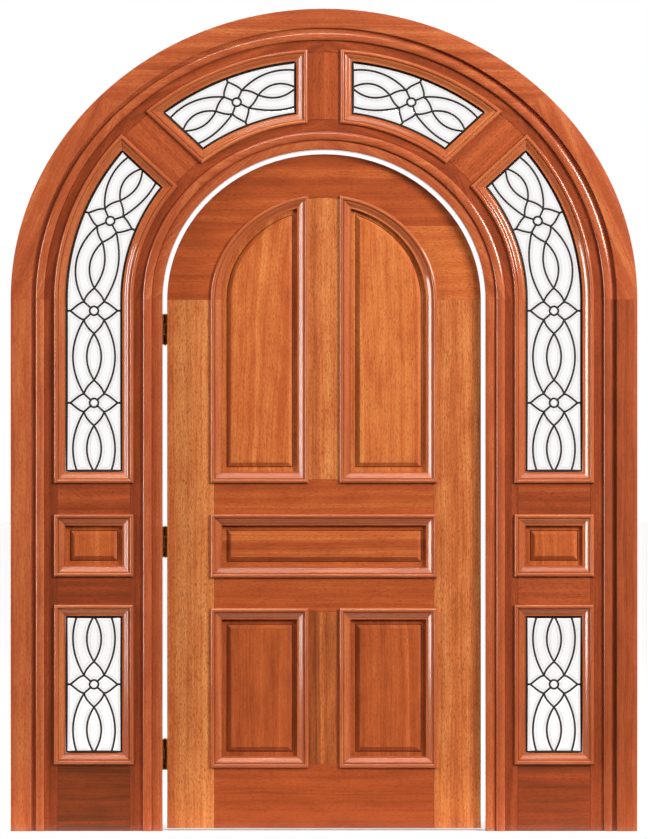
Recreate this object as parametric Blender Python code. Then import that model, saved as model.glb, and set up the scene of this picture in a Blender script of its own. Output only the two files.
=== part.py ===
"""An arched doorway: a panelled door leaf, hinged in a frame with leaded sidelights and transom lights.

Metres, +Z up. X runs across the doorway from its centre line, and the front faces -Y. The plane y = 0 is the
back of the frame and of the closed leaf, and the feet of the frame stand at z = 0.

Every arch is a half circle about the spring line, flattened by ARCH_RISE. Its angles are those of the circle
before it is flattened, from +X. An opening is named by its sight line, the inner edge of its moulding, and
its outline can be grown outwards by any amount, so that whatever fits it is the same outline, grown.
"""

import math

import bmesh
import bpy
import numpy as np
from mathutils import Matrix, Vector
from mathutils.geometry import delaunay_2d_cdt

# Heights
SPRING = 1.546
ARCH_RISE = 0.928
FLOOR_GAP = 0.006

# Widths, from the centre line outwards
LEAF_WIDTH = 0.914
LEAF_GAP = 0.013
LINING_WIDTH = 0.0305
DOOR_BEAD_WIDTH = 0.0265
INNER_SASH_FACE = 0.027
SIGHT_WIDTH = 0.165
OUTER_SASH_FACE = 0.0285
FRAME_BEAD_WIDTH = 0.0245
FRAME_GROOVE_WIDTH = 0.013
CASING_WIDTH = 0.060

# Depths, each setback measured from the front of the casing
FRAME_DEPTH = 0.095
FRAME_GROOVE_DEPTH = 0.014
FRAME_BEAD_SETBACK = 0.0015
FRAME_BEAD_CROWN = 0.005
DOOR_BEAD_SETBACK = 0.003
DOOR_BEAD_CROWN = 0.0065
LINING_SETBACK = 0.013
LINING_CROWN = 0.003
SASH_SETBACK = 0.014
SASH_THICKNESS = 0.044
SASH_REST = 0.012
LEAF_THICKNESS = 0.044
EDGE_EASE = 0.002

# Faces of the leaf's members between their mouldings, and the heights of its openings
LEAF_STILE_FACE = 0.127
LEAF_MUNTIN_FACE = 0.091
LEAF_BOTTOM_RAIL = 0.1825
LEAF_LOWER_OPENING = 0.4645
LEAF_LOCK_RAIL = 0.089
LEAF_MIDDLE_OPENING = 0.185
LEAF_UPPER_RAIL = 0.091

# The same for the sidelights, and the bars that part them from the transom lights
SIDE_BOTTOM_RAIL = 0.194
SIDE_LOWER_OPENING = 0.464
SIDE_LOCK_RAIL = 0.082
SIDE_MIDDLE_OPENING = 0.181
SIDE_UPPER_RAIL = 0.091
SPOKE_ANGLE = math.radians(45.0)
SPOKE_FACE = 0.100
CROWN_POST_FACE = 0.096

# Mouldings, and the slot that holds each pane and panel by its edge
MOULDING_WIDTH = 0.033
MOULDING_LAP = 0.010
MOULDING_PROUD = 0.010
MOULDING_EDGE = 0.005
MOULDING_BEAD = 0.011
MOULDING_FALL = 0.009
OGEE_TOP = 0.50
OGEE_TOP_HEIGHT = 0.001
OGEE_FOOT = 0.20
OGEE_FOOT_FALL = 0.0068
PANE_SLOT = 0.010
SLOT_DEPTH = 0.009
SLOT_PLAY = 0.001

# Raised panels
PANEL_BORDER = 0.013
PANEL_BEVEL = 0.013
PANEL_STEP = 0.002
PANEL_RAISE = 0.010
PANEL_BACK_RAISE = 0.006

# Leading, drawn as a row of four-petalled flowers, each place as (across the light, up it)
CAME_WIDTH = 0.005
BORDER_CAME_WIDTH = 0.006
CAME_HEIGHT = 0.004
FLOWER_PITCH = 0.268
FIRST_FLOWER = 0.2005
LAST_FLOWER = 0.1796
FLOWER_EYE = 0.015
PETAL_CROSSING = (0.029, 0.026)
PETAL_TOP = 0.066
PETAL_TOP_HANDLES = ((0.012, 0.056), (0.026, 0.042))
PETAL_TIP = 0.0685
PETAL_TIP_HANDLES = ((0.042, 0.024), (0.0545, 0.011))
OUTER_BOW = 0.0613
INNER_BOW = 0.021

# Butt hinges: the middles of the lowest and the highest, and the sizes of each
BOTTOM_HINGE = 0.22
TOP_HINGE_DROP = 0.086
HINGE_HEIGHT = 0.089
HINGE_LEAF_WIDTH = 0.034
HINGE_LEAF_THICKNESS = 0.0025
HINGE_WEB_LAP = 0.002
KNUCKLE_RADIUS = 0.0055
KNUCKLE_SETBACK = 0.008
HINGE_PIN_RADIUS = 0.0028
HINGE_PIN_SETBACK = 0.002
HINGE_PLAY = 0.0003
HINGE_SIDES = 8

# Gap between pieces that touch, and the distance under which two points are one
CLEAR = 0.0003
SAME_POINT = 0.000001

# Flats in a half arch and in the crown of a bead, and straight lengths that stand for a curve of the leading
ARCH_FACETS = 18
BEAD_FACETS = 3
LINING_FACETS = 2
EYE_STEPS = 2
PETAL_STEPS = 2
OUTER_BOW_STEPS = 3
INNER_BOW_STEPS = 2
LANE_STEPS = 360
NEARLY_STRAIGHT = 0.02

# Half spans that follow from the widths
LEAF_EDGE = LEAF_WIDTH / 2
OPENING_EDGE = LEAF_EDGE + LEAF_GAP
LINING_EDGE = OPENING_EDGE + LINING_WIDTH
INNER_SASH_EDGE = LINING_EDGE + DOOR_BEAD_WIDTH
SIGHT_INNER = INNER_SASH_EDGE + INNER_SASH_FACE + MOULDING_WIDTH
SIGHT_OUTER = SIGHT_INNER + SIGHT_WIDTH
OUTER_SASH_EDGE = SIGHT_OUTER + MOULDING_WIDTH + OUTER_SASH_FACE
FRAME_BEAD_EDGE = OUTER_SASH_EDGE + FRAME_BEAD_WIDTH
CASING_INNER = FRAME_BEAD_EDGE + FRAME_GROOVE_WIDTH
CASING_EDGE = CASING_INNER + CASING_WIDTH
LEAF_SIGHT = LEAF_EDGE - LEAF_STILE_FACE - MOULDING_WIDTH

# Places through the depth
CASING_FRONT = -FRAME_DEPTH
SASH_FRONT = CASING_FRONT + SASH_SETBACK
SASH_BACK = SASH_FRONT + SASH_THICKNESS
LEAF_FRONT = -LEAF_THICKNESS

# How far an opening's outline grows to reach each thing round it
AT_MEMBER = MOULDING_WIDTH - MOULDING_LAP
AT_SLOT = AT_MEMBER + SLOT_DEPTH
AT_PANE = AT_SLOT - SLOT_PLAY


def arch(radius, angle):
    """The point at an angle of this half span's faceted arch. All arches share facets, so they nest."""
    along = min(max(angle / math.pi, 0.0), 1.0) * ARCH_FACETS
    facet = min(int(along), ARCH_FACETS - 1)
    ends = [math.pi * k / ARCH_FACETS for k in (facet, facet + 1)]
    share = along - facet
    across = (1 - share) * math.cos(ends[0]) + share * math.cos(ends[1])
    up = (1 - share) * math.sin(ends[0]) + share * math.sin(ends[1])
    return (radius * across, SPRING + ARCH_RISE * radius * up)


def arc(radius, start, end):
    """The arch between two angles. Facet corners outside them fall on the nearer end, so none is lost."""
    corners = [math.pi * k / ARCH_FACETS for k in range(ARCH_FACETS + 1)]
    return [arch(radius, min(max(corner, start), end)) for corner in corners]


def mirrored(points):
    """An outline's mirror image across the centre line, run the same way round."""
    return [(-x, z) for x, z in reversed(points)]


def rectangle(left, right, low, high):
    """The outline function of a rectangular opening."""

    def outline(grow):
        return [
            (left - grow, low - grow),
            (right + grow, low - grow),
            (right + grow, high + grow),
            (left - grow, high + grow),
        ]

    return outline


def leaf_head_outline(grow):
    """The right half of the leaf's arched opening: upright at the muntin, round at the stile."""
    radius = LEAF_SIGHT + grow
    muntin = LEAF_MUNTIN_FACE / 2 + MOULDING_WIDTH - grow
    low = LEAF_HEAD_LOW - grow
    return [(muntin, low), (radius, low), *arc(radius, 0.0, math.acos(muntin / radius))]


def side_head_outline(grow):
    """The right sidelight's head: straight up to the spring line, then round as far as the spoke."""
    inner, outer = SIGHT_INNER - grow, SIGHT_OUTER + grow
    spoke = SPOKE_FACE / 2 + MOULDING_WIDTH - grow
    inner_arc = arc(inner, 0.0, SPOKE_ANGLE - math.asin(spoke / inner))
    outer_arc = arc(outer, 0.0, SPOKE_ANGLE - math.asin(spoke / outer))
    low = SIDE_HEAD_LOW - grow
    return [(inner, low), (outer, low), *outer_arc, *reversed(inner_arc)]


def transom_outline(grow):
    """The right transom light, from the spoke to the crown post."""
    inner, outer = SIGHT_INNER - grow, SIGHT_OUTER + grow
    spoke = SPOKE_FACE / 2 + MOULDING_WIDTH - grow
    post = CROWN_POST_FACE / 2 + MOULDING_WIDTH - grow
    inner_arc = arc(inner, SPOKE_ANGLE + math.asin(spoke / inner), math.acos(post / inner))
    outer_arc = arc(outer, SPOKE_ANGLE + math.asin(spoke / outer), math.acos(post / outer))
    return [*outer_arc, *reversed(inner_arc)]


# Heights of the openings' sight lines
LEAF_LOWER_LOW = LEAF_BOTTOM_RAIL + MOULDING_WIDTH
LEAF_LOWER_HIGH = LEAF_BOTTOM_RAIL + LEAF_LOWER_OPENING - MOULDING_WIDTH
LEAF_MIDDLE_LOW = LEAF_LOWER_HIGH + LEAF_LOCK_RAIL + 2 * MOULDING_WIDTH
LEAF_MIDDLE_HIGH = LEAF_MIDDLE_LOW + LEAF_MIDDLE_OPENING - 2 * MOULDING_WIDTH
LEAF_HEAD_LOW = LEAF_MIDDLE_HIGH + LEAF_UPPER_RAIL + 2 * MOULDING_WIDTH
SIDE_LOWER_LOW = SIDE_BOTTOM_RAIL + MOULDING_WIDTH
SIDE_LOWER_HIGH = SIDE_BOTTOM_RAIL + SIDE_LOWER_OPENING - MOULDING_WIDTH
SIDE_MIDDLE_LOW = SIDE_LOWER_HIGH + SIDE_LOCK_RAIL + 2 * MOULDING_WIDTH
SIDE_MIDDLE_HIGH = SIDE_MIDDLE_LOW + SIDE_MIDDLE_OPENING - 2 * MOULDING_WIDTH
SIDE_HEAD_LOW = SIDE_MIDDLE_HIGH + SIDE_UPPER_RAIL + 2 * MOULDING_WIDTH

# The hinges' heights, the middle one halfway, and their axis, midway in the gap and behind the leaf
TOP_HINGE = SPRING - TOP_HINGE_DROP
HINGE_HEIGHTS = (BOTTOM_HINGE, (BOTTOM_HINGE + TOP_HINGE) / 2, TOP_HINGE)
HINGE_AXIS = (-(LEAF_EDGE + OPENING_EDGE) / 2, KNUCKLE_SETBACK)


def clear_scene():
    """Removes the startup scene's objects."""
    for obj in list(bpy.data.objects):
        bpy.data.objects.remove(obj)


def material(name, colour, roughness, metallic=0.0, transmission=0.0):
    """A Principled BSDF of this linear colour."""
    made = bpy.data.materials.new(name)
    made.use_nodes = True
    shader = made.node_tree.nodes["Principled BSDF"]
    shader.inputs["Base Color"].default_value = (*colour, 1.0)
    shader.inputs["Roughness"].default_value = roughness
    shader.inputs["Metallic"].default_value = metallic
    shader.inputs["Transmission Weight"].default_value = transmission
    made.diffuse_color = (*colour, 1.0)
    return made


def hang(obj, parent):
    """Puts the object under its parent, if it has one, without moving it."""
    if parent is not None:
        obj.parent = parent
        obj.matrix_parent_inverse = parent.matrix_world.inverted()


def shape(bm, name, finish, collection):
    """The mesh as an object in a collection."""
    mesh = bpy.data.meshes.new(name)
    bm.to_mesh(mesh)
    bm.free()
    mesh.materials.append(finish)
    obj = bpy.data.objects.new(name, mesh)
    collection.objects.link(obj)
    return obj


def place(bm, name, finish, parent=None):
    """The mesh as an object of the doorway, its doubled points merged and its faces turned out."""
    bmesh.ops.remove_doubles(bm, verts=bm.verts, dist=SAME_POINT)
    bmesh.ops.dissolve_degenerate(bm, edges=bm.edges, dist=SAME_POINT)
    bmesh.ops.recalc_face_normals(bm, faces=bm.faces)
    obj = shape(bm, name, finish, DOORWAY)
    hang(obj, parent)
    return obj


def loft(rings, joined=False):
    """A mesh through rings of points. The last ring is joined to the first, or both ends are capped."""
    bm = bmesh.new()
    rows = [[bm.verts.new(point) for point in ring] for ring in rings]
    following = rows[1:] + rows[:1] if joined else rows[1:]
    for row, after in zip(rows, following):
        for k, vert in enumerate(row):
            m = (k + 1) % len(row)
            bm.faces.new((vert, row[m], after[m], after[k]))
    if not joined:
        bm.faces.new(rows[0])
        bm.faces.new(rows[-1])
    return bm


def stack(levels):
    """A solid through outlines laid one behind another: each level is (outline, y)."""
    return loft([[(x, y, z) for x, z in outline] for outline, y in levels])


def along_arch(section, footed):
    """A section of (half span, y) points carried round the arch, and down to the floor if it is footed."""
    paths = []
    for radius, _ in section:
        path = arc(radius, 0.0, math.pi)
        paths.append([(radius, 0.0), *path, (-radius, 0.0)] if footed else path)
    rings = [
        [(path[k][0], y, path[k][1]) for path, (_, y) in zip(paths, section)]
        for k in range(len(paths[0]))
    ]
    return loft(rings)


def bead(inner, outer, base, crown, steps=BEAD_FACETS):
    """Section points of a rounded face that rises by its crown, from one half span out to another."""
    middle, half = (inner + outer) / 2, (outer - inner) / 2
    turns = [math.pi * k / steps for k in range(steps + 1)]
    return [(middle - half * math.cos(turn), base - crown * math.sin(turn)) for turn in turns]


def slot_levels(front, thickness):
    """The two sides of the slot in a member whose face is at front: it is centred in the thickness."""
    middle = front + thickness / 2
    return middle - PANE_SLOT / 2, middle + PANE_SLOT / 2


def member(name, outline, front, thickness, finish, parent=None):
    """A rail, stile or bar. outline(depth) is its outline with its slotted edges drawn in by that depth."""
    slot_front, slot_back = slot_levels(front, thickness)
    full, slotted = outline(0.0), outline(SLOT_DEPTH)
    levels = [
        (full, front),
        (full, slot_front),
        (slotted, slot_front),
        (slotted, slot_back),
        (full, slot_back),
        (full, front + thickness),
    ]
    return place(stack(levels), name, finish, parent)


def rail(name, left, right, low, high, front, thickness, finish, parent=None, slots=(1, 1)):
    """A level rail. slots says whether its lower and its upper edge have a slot."""

    def outline(depth):
        return [
            (left, low + slots[0] * depth),
            (right, low + slots[0] * depth),
            (right, high - slots[1] * depth),
            (left, high - slots[1] * depth),
        ]

    return member(name, outline, front, thickness, finish, parent)


def upright(name, left, right, low, high, front, thickness, finish, parent=None, slots=(1, 1)):
    """A stile or muntin with square ends. slots says whether its left and its right edge have a slot."""

    def outline(depth):
        return [
            (left + slots[0] * depth, low),
            (right - slots[1] * depth, low),
            (right - slots[1] * depth, high),
            (left + slots[0] * depth, high),
        ]

    return member(name, outline, front, thickness, finish, parent)


def radial_bar(name, face, angle, flip, finish):
    """A bar between the two rings of the sash, its ends cut to their curves."""
    half = face / 2 + MOULDING_LAP
    inner = SIGHT_INNER - AT_MEMBER + CLEAR
    outer = SIGHT_OUTER + AT_MEMBER - CLEAR

    def outline(depth):
        inner_turn = math.asin((half - depth) / inner)
        outer_turn = math.asin((half - depth) / outer)
        low = arc(inner, angle - inner_turn, angle + inner_turn)
        high = arc(outer, angle - outer_turn, angle + outer_turn)
        points = [*reversed(low), *high]
        return mirrored(points) if flip else points

    return member(name, outline, SASH_FRONT, SASH_THICKNESS, finish)


def moulding_section(seat):
    """(grow, height above the member's face) round a bolection moulding: a lap, a bead and an ogee, and the
    tongue that reaches down to its seat on the pane or panel."""
    crest = MOULDING_WIDTH - MOULDING_BEAD / 2
    tongue = AT_MEMBER - CLEAR
    return [
        (MOULDING_WIDTH, CLEAR),
        (MOULDING_WIDTH, MOULDING_EDGE),
        (crest, MOULDING_PROUD),
        (MOULDING_WIDTH - MOULDING_BEAD, MOULDING_EDGE),
        (OGEE_TOP * crest, OGEE_TOP_HEIGHT),
        (OGEE_FOOT * crest, -OGEE_FOOT_FALL),
        (0.0, -MOULDING_FALL),
        (0.0, seat + CLEAR),
        (tongue, seat + CLEAR),
        (tongue, CLEAR),
    ]


def moulding(name, outline, front, thickness, finish, parent=None):
    """A mitred moulding round an opening, lapped on to the face of the members."""
    slot_front, _ = slot_levels(front, thickness)
    rings = [
        [(x, front - height, z) for x, z in outline(grow)]
        for grow, height in moulding_section(front - slot_front)
    ]
    return place(loft(rings, joined=True), name, finish, parent)


def raised_panel(name, outline, front, thickness, finish, parent=None):
    """A panel held by its edge in the slot, with a flat border, a bevel and a raised field."""
    slot_front, slot_back = slot_levels(front, thickness)
    face, back = slot_front + CLEAR, slot_back - CLEAR
    border = outline(-PANEL_BORDER)
    field = outline(-PANEL_BORDER - PANEL_BEVEL)
    levels = [
        (field, face - PANEL_RAISE),
        (border, face - PANEL_STEP),
        (border, face),
        (outline(AT_PANE), face),
        (outline(AT_PANE), back),
        (border, back),
        (field, back + PANEL_BACK_RAISE),
    ]
    return place(stack(levels), name, finish, parent)


def pane(name, outline, finish):
    """A pane of glass, held by its edge in the slot."""
    slot_front, slot_back = slot_levels(SASH_FRONT, SASH_THICKNESS)
    levels = [(outline(AT_PANE), slot_front + CLEAR), (outline(AT_PANE), slot_back - CLEAR)]
    return place(stack(levels), name, finish)


def flower_row(low, high):
    """The middles of the flowers that fit a light between these heights, and their pitch, evened out."""
    span = high - LAST_FLOWER - low - FIRST_FLOWER
    gaps = round(span / FLOWER_PITCH)
    if gaps < 1:
        return [(low + high) / 2], FLOWER_PITCH
    pitch = span / gaps
    return [low + FIRST_FLOWER + k * pitch for k in range(gaps + 1)], pitch


def bow(start, end, width, steps):
    """A shallow arc along v from one (u, v) to another level with it, standing out in u to the width."""
    half, middle = (end[1] - start[1]) / 2, (start[1] + end[1]) / 2
    levels = [start[1] + (end[1] - start[1]) * k / steps for k in range(steps + 1)]
    return [(start[0] + (width - start[0]) * (1 - ((v - middle) / half) ** 2), v) for v in levels]


def bezier(a, b, c, d, steps):
    """Points along a cubic curve with these handles."""
    weights = [
        ((1 - t) ** 3, 3 * t * (1 - t) ** 2, 3 * t * t * (1 - t), t**3)
        for t in (k / steps for k in range(steps + 1))
    ]
    return [tuple(sum(w * p[i] for w, p in zip(row, (a, b, c, d))) for i in (0, 1)) for row in weights]


def flower_lines(centre):
    """The lines of one flower about (0, centre) in a light's own (u, v), v running up the light."""
    u, v = PETAL_CROSSING
    turn = math.atan2(v, u)
    corners = [-turn, turn, math.pi - turn, math.pi + turn, math.tau - turn]
    eye = [a + (b - a) * k / EYE_STEPS for a, b in zip(corners, corners[1:]) for k in range(EYE_STEPS)]
    lines = [[(FLOWER_EYE * math.cos(t), FLOWER_EYE * math.sin(t)) for t in [*eye, corners[-1]]]]
    reach = FLOWER_EYE / math.hypot(u, v)
    top = bezier((0, PETAL_TOP), *PETAL_TOP_HANDLES, (u, v), PETAL_STEPS)
    tip = bezier((u, v), *PETAL_TIP_HANDLES, (PETAL_TIP, 0), PETAL_STEPS)
    stub = [(PETAL_TIP, 0), (SIGHT_WIDTH, 0)]
    for across, up in ((1, 1), (-1, 1), (1, -1), (-1, -1)):
        for line in ([(u * reach, v * reach), (u, v)], top, tip):
            lines.append([(across * a, up * b) for a, b in line])
    lines += [stub, [(-a, b) for a, b in stub]]
    return [[(a, b + centre) for a, b in line] for line in lines]


def leading_lines(flowers, pitch, low, high):
    """The lines of a light's leading: its flowers, the bows between them, and those out at its ends."""
    u, v = PETAL_CROSSING
    lines = []
    for centre in flowers:
        lines += flower_lines(centre)
    outer_spans = [(centre + v, centre + pitch - v) for centre in flowers]
    outer_spans.append((flowers[0] - pitch + v, flowers[0] - v))
    inner_ends = [low, *[c + side * PETAL_TOP for c in flowers for side in (-1, 1)], high]
    inner_spans = list(zip(inner_ends[::2], inner_ends[1::2]))
    for side in (1, -1):
        for a, b in outer_spans:
            lines.append(bow((side * u, a), (side * u, b), side * OUTER_BOW, OUTER_BOW_STEPS))
        for a, b in inner_spans:
            lines.append(bow((0, a), (0, b), side * INNER_BOW, INNER_BOW_STEPS))
    return lines


def lane_lengths():
    """Angles, and the length of the lights' middle line from the spring line to each."""
    angles = np.linspace(0, math.pi / 2, LANE_STEPS + 1)
    radius = (SIGHT_INNER + SIGHT_OUTER) / 2
    steps = np.hypot(np.diff(radius * np.cos(angles)), np.diff(ARCH_RISE * radius * np.sin(angles)))
    return angles, np.concatenate([[0], np.cumsum(steps)])


def lane(u, v):
    """The place of (u, v) in the right-hand lights: v runs up the middle line, and u across it, outwards."""
    radius = (SIGHT_INNER + SIGHT_OUTER) / 2 + u
    if v <= SPRING:
        return (radius, v)
    angles, lengths = lane_lengths()
    return arch(radius, float(np.interp(v - SPRING, lengths, angles)))


def lane_height(angle):
    """The v of an angle on the lights' middle line."""
    angles, lengths = lane_lengths()
    return SPRING + float(np.interp(angle, angles, lengths))


def inside(point, loop):
    """Whether a point lies within a closed loop."""
    x, y = point
    found = False
    for (ax, ay), (bx, by) in zip(loop, loop[1:] + loop[:1]):
        if (ay > y) != (by > y) and x < (bx - ax) * (y - ay) / (by - ay) + ax:
            found = not found
    return found


def distinct(points):
    """The points without those that repeat the one before."""
    kept = []
    for point in points:
        if not kept or math.dist(point, kept[-1]) > SAME_POINT:
            kept.append(point)
    return kept[:-1] if math.dist(kept[0], kept[-1]) < SAME_POINT else kept


def glass_cells(border, lines):
    """The cells between the lines within the border, each a loop of (point, is its next edge border)."""
    points, edges = [], []
    for line in [border + border[:1], *lines]:
        start = len(points)
        points += [Vector(point) for point in line]
        edges += [(k, k + 1) for k in range(start, len(points) - 1)]
    verts, cut, faces, _, sources, _ = delaunay_2d_cdt(points, edges, [], 0, SAME_POINT)
    source = {frozenset(edge): ids for edge, ids in zip(cut, sources) if ids}
    sides = {}
    for face_id, face in enumerate(faces):
        for k in range(3):
            sides.setdefault(frozenset((face[k], face[(k + 1) % 3])), []).append(face_id)
    seen, cells = set(), []
    for first, face in enumerate(faces):
        middle = sum((verts[k] for k in face), Vector((0, 0))) / 3
        if first in seen or not inside(middle, border):
            continue
        seen.add(first)
        todo, following = [first], {}
        while todo:
            corners = faces[todo.pop()]
            for k in range(3):
                a, b = corners[k], corners[(k + 1) % 3]
                edge = frozenset((a, b))
                if edge in source:
                    following[a] = b
                    continue
                for near in sides[edge]:
                    if near not in seen:
                        seen.add(near)
                        todo.append(near)
        at = next(iter(following))
        loop = []
        for _ in following:
            after = following[at]
            on_border = min(source[frozenset((at, after))]) < len(border)
            loop.append((tuple(verts[at]), on_border))
            at = after
        cells.append(loop)
    return cells


def drawn_in(loop):
    """A cell's outline drawn in by half of the came on each side. A side too short to be left is dropped."""
    lines = []
    for (a, on_border), (b, _) in zip(loop, loop[1:] + loop[:1]):
        by = (BORDER_CAME_WIDTH if on_border else CAME_WIDTH) / 2
        run = (Vector(b) - Vector(a)).normalized()
        lines.append((Vector(a) + by * Vector((-run.y, run.x)), run))
    while True:
        points = []
        for (a, run_a), (b, run_b) in zip(lines[-1:] + lines[:-1], lines):
            turn = run_a.cross(run_b)
            points.append(b if abs(turn) < NEARLY_STRAIGHT else a + (b - a).cross(run_b) / turn * run_a)
        kept = [
            line
            for line, start, end in zip(lines, points, points[1:] + points[:1])
            if (end - start).dot(line[1]) > 0
        ]
        if len(kept) == len(lines):
            return [tuple(point) for point in points]
        lines = kept


def leading(name, outline, flowers, pitch, low, high, flip, finish):
    """One light's leading, a flat lattice of came that lies on the pane."""
    outer = distinct(outline(-CLEAR))
    border = distinct(outline(-BORDER_CAME_WIDTH / 2))
    lines = [[lane(u, v) for u, v in line] for line in leading_lines(flowers, pitch, low, high)]
    holes = [drawn_in(loop) for loop in glass_cells(border, lines)]
    points, edges = [], []
    for loop in [outer, *holes]:
        start = len(points)
        points += [Vector(point) for point in loop]
        edges += [(start + k, start + (k + 1) % len(loop)) for k in range(len(loop))]
    verts, _, faces, *_ = delaunay_2d_cdt(points, edges, [], 0, SAME_POINT / 10)
    back, _ = slot_levels(SASH_FRONT, SASH_THICKNESS)
    bm = bmesh.new()
    made = [bm.verts.new((-v.x if flip else v.x, back, v.y)) for v in verts]
    for face in faces:
        middle = sum((verts[k] for k in face), Vector((0, 0))) / 3
        if inside(middle, outer) and not any(inside(middle, hole) for hole in holes):
            bm.faces.new([made[k] for k in face])
    bmesh.ops.delete(bm, geom=[v for v in bm.verts if not v.link_faces], context="VERTS")
    grown = bmesh.ops.extrude_face_region(bm, geom=bm.faces[:])
    raised = [item for item in grown["geom"] if isinstance(item, bmesh.types.BMVert)]
    bmesh.ops.translate(bm, verts=raised, vec=(0, -CAME_HEIGHT, 0))
    return place(bm, name, finish)


def block(name, low, high, finish, collection):
    """A box between two corners."""
    bm = bmesh.new()
    bmesh.ops.create_cube(bm, size=1.0)
    size = [b - a for a, b in zip(low, high)]
    middle = [(a + b) / 2 for a, b in zip(low, high)]
    bmesh.ops.transform(bm, matrix=Matrix.Translation(middle) @ Matrix.Diagonal((*size, 1)), verts=bm.verts)
    return shape(bm, name, finish, collection)


def post(name, centre, radius, low, high, finish, collection):
    """An upright cylinder about (x, y) between two heights."""
    bm = bmesh.new()
    bmesh.ops.create_cone(
        bm, cap_ends=True, segments=HINGE_SIDES, radius1=radius, radius2=radius, depth=high - low
    )
    bmesh.ops.translate(bm, verts=bm.verts, vec=(*centre, (low + high) / 2))
    return shape(bm, name, finish, collection)


def combine(target, helper, operation):
    """Joins a helper to the target, or cuts it away, with a Boolean modifier."""
    helper.hide_render = True
    helper.display_type = "WIRE"
    modifier = target.modifiers.new(helper.name, "BOOLEAN")
    modifier.operation = operation
    modifier.object = helper
    modifier.solver = "EXACT"


def hinge_half(name, plate_x, height, knuckles, bored, finish, parent=None):
    """One leaf of a butt hinge: a plate on the edge of the wood, and its knuckles on the axis behind it."""
    low, high = height - HINGE_HEIGHT / 2, height + HINGE_HEIGHT / 2
    plate_back = HINGE_AXIS[1] - KNUCKLE_RADIUS - 2 * HINGE_PLAY
    near, far = sorted(plate_x)
    plate_ends = (near, plate_back - HINGE_LEAF_WIDTH, low), (far, plate_back, high)
    obj = block(name, *plate_ends, finish, DOORWAY)
    third = HINGE_HEIGHT / 3
    for k in knuckles:
        bottom = low + k * third + (HINGE_PLAY / 2 if k else 0)
        top = low + (k + 1) * third - (HINGE_PLAY / 2 if k < 2 else 0)
        web_ends = (near, plate_back - HINGE_WEB_LAP, bottom), (far, HINGE_AXIS[1], top)
        combine(obj, block(f"{name}_web_{k}", *web_ends, finish, HELPERS), "UNION")
        barrel = post(f"{name}_barrel_{k}", HINGE_AXIS, KNUCKLE_RADIUS, bottom, top, finish, HELPERS)
        combine(obj, barrel, "UNION")
    if bored:
        radius = HINGE_PIN_RADIUS + HINGE_PLAY
        bore = post(f"{name}_bore", HINGE_AXIS, radius, low - third, high + third, finish, HELPERS)
        combine(obj, bore, "DIFFERENCE")
    else:
        pin_low, pin_high = low + HINGE_PIN_SETBACK, high - HINGE_PIN_SETBACK
        pin = post(f"{name}_pin", HINGE_AXIS, HINGE_PIN_RADIUS, pin_low, pin_high, finish, HELPERS)
        combine(obj, pin, "UNION")
    hang(obj, parent)
    return obj


def build_frame(wood):
    """The two arched frames: the casing with its groove and bead, and the lining round the leaf."""
    casing = [
        (OUTER_SASH_EDGE - SASH_REST, 0.0),
        (OUTER_SASH_EDGE - SASH_REST, SASH_BACK + CLEAR),
        (OUTER_SASH_EDGE, SASH_BACK + CLEAR),
        *bead(
            OUTER_SASH_EDGE,
            FRAME_BEAD_EDGE,
            CASING_FRONT + FRAME_BEAD_SETBACK + FRAME_BEAD_CROWN,
            FRAME_BEAD_CROWN,
        ),
        (FRAME_BEAD_EDGE, CASING_FRONT + FRAME_GROOVE_DEPTH),
        (CASING_INNER, CASING_FRONT + FRAME_GROOVE_DEPTH),
        (CASING_INNER, CASING_FRONT + EDGE_EASE),
        (CASING_INNER + EDGE_EASE, CASING_FRONT),
        (CASING_EDGE - EDGE_EASE, CASING_FRONT),
        (CASING_EDGE, CASING_FRONT + EDGE_EASE),
        (CASING_EDGE, 0.0),
    ]
    place(along_arch(casing, footed=True), "outer_frame", wood)
    lining = [
        (OPENING_EDGE, 0.0),
        *bead(
            OPENING_EDGE,
            LINING_EDGE,
            CASING_FRONT + LINING_SETBACK + LINING_CROWN,
            LINING_CROWN,
            LINING_FACETS,
        ),
        *bead(
            LINING_EDGE + EDGE_EASE,
            INNER_SASH_EDGE,
            CASING_FRONT + DOOR_BEAD_SETBACK + DOOR_BEAD_CROWN,
            DOOR_BEAD_CROWN,
        ),
        (INNER_SASH_EDGE, SASH_BACK + CLEAR),
        (INNER_SASH_EDGE + SASH_REST, SASH_BACK + CLEAR),
        (INNER_SASH_EDGE + SASH_REST, 0.0),
    ]
    place(along_arch(lining, footed=True), "inner_frame", wood)


def build_sash_rings(wood):
    """The outer and the inner ring of the glazed sash, each with its slot towards the glass."""
    slot_front, slot_back = slot_levels(SASH_FRONT, SASH_THICKNESS)
    for name, edge, far, into in (
        ("sash_outer_ring", SIGHT_OUTER + AT_MEMBER, OUTER_SASH_EDGE - CLEAR, 1),
        ("sash_inner_ring", SIGHT_INNER - AT_MEMBER, INNER_SASH_EDGE + CLEAR, -1),
    ):
        bottom = edge + into * SLOT_DEPTH
        section = [
            (far, SASH_BACK),
            (far, SASH_FRONT),
            (edge, SASH_FRONT),
            (edge, slot_front),
            (bottom, slot_front),
            (bottom, slot_back),
            (edge, slot_back),
            (edge, SASH_BACK),
        ]
        place(along_arch(section, footed=True), name, wood)


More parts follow.
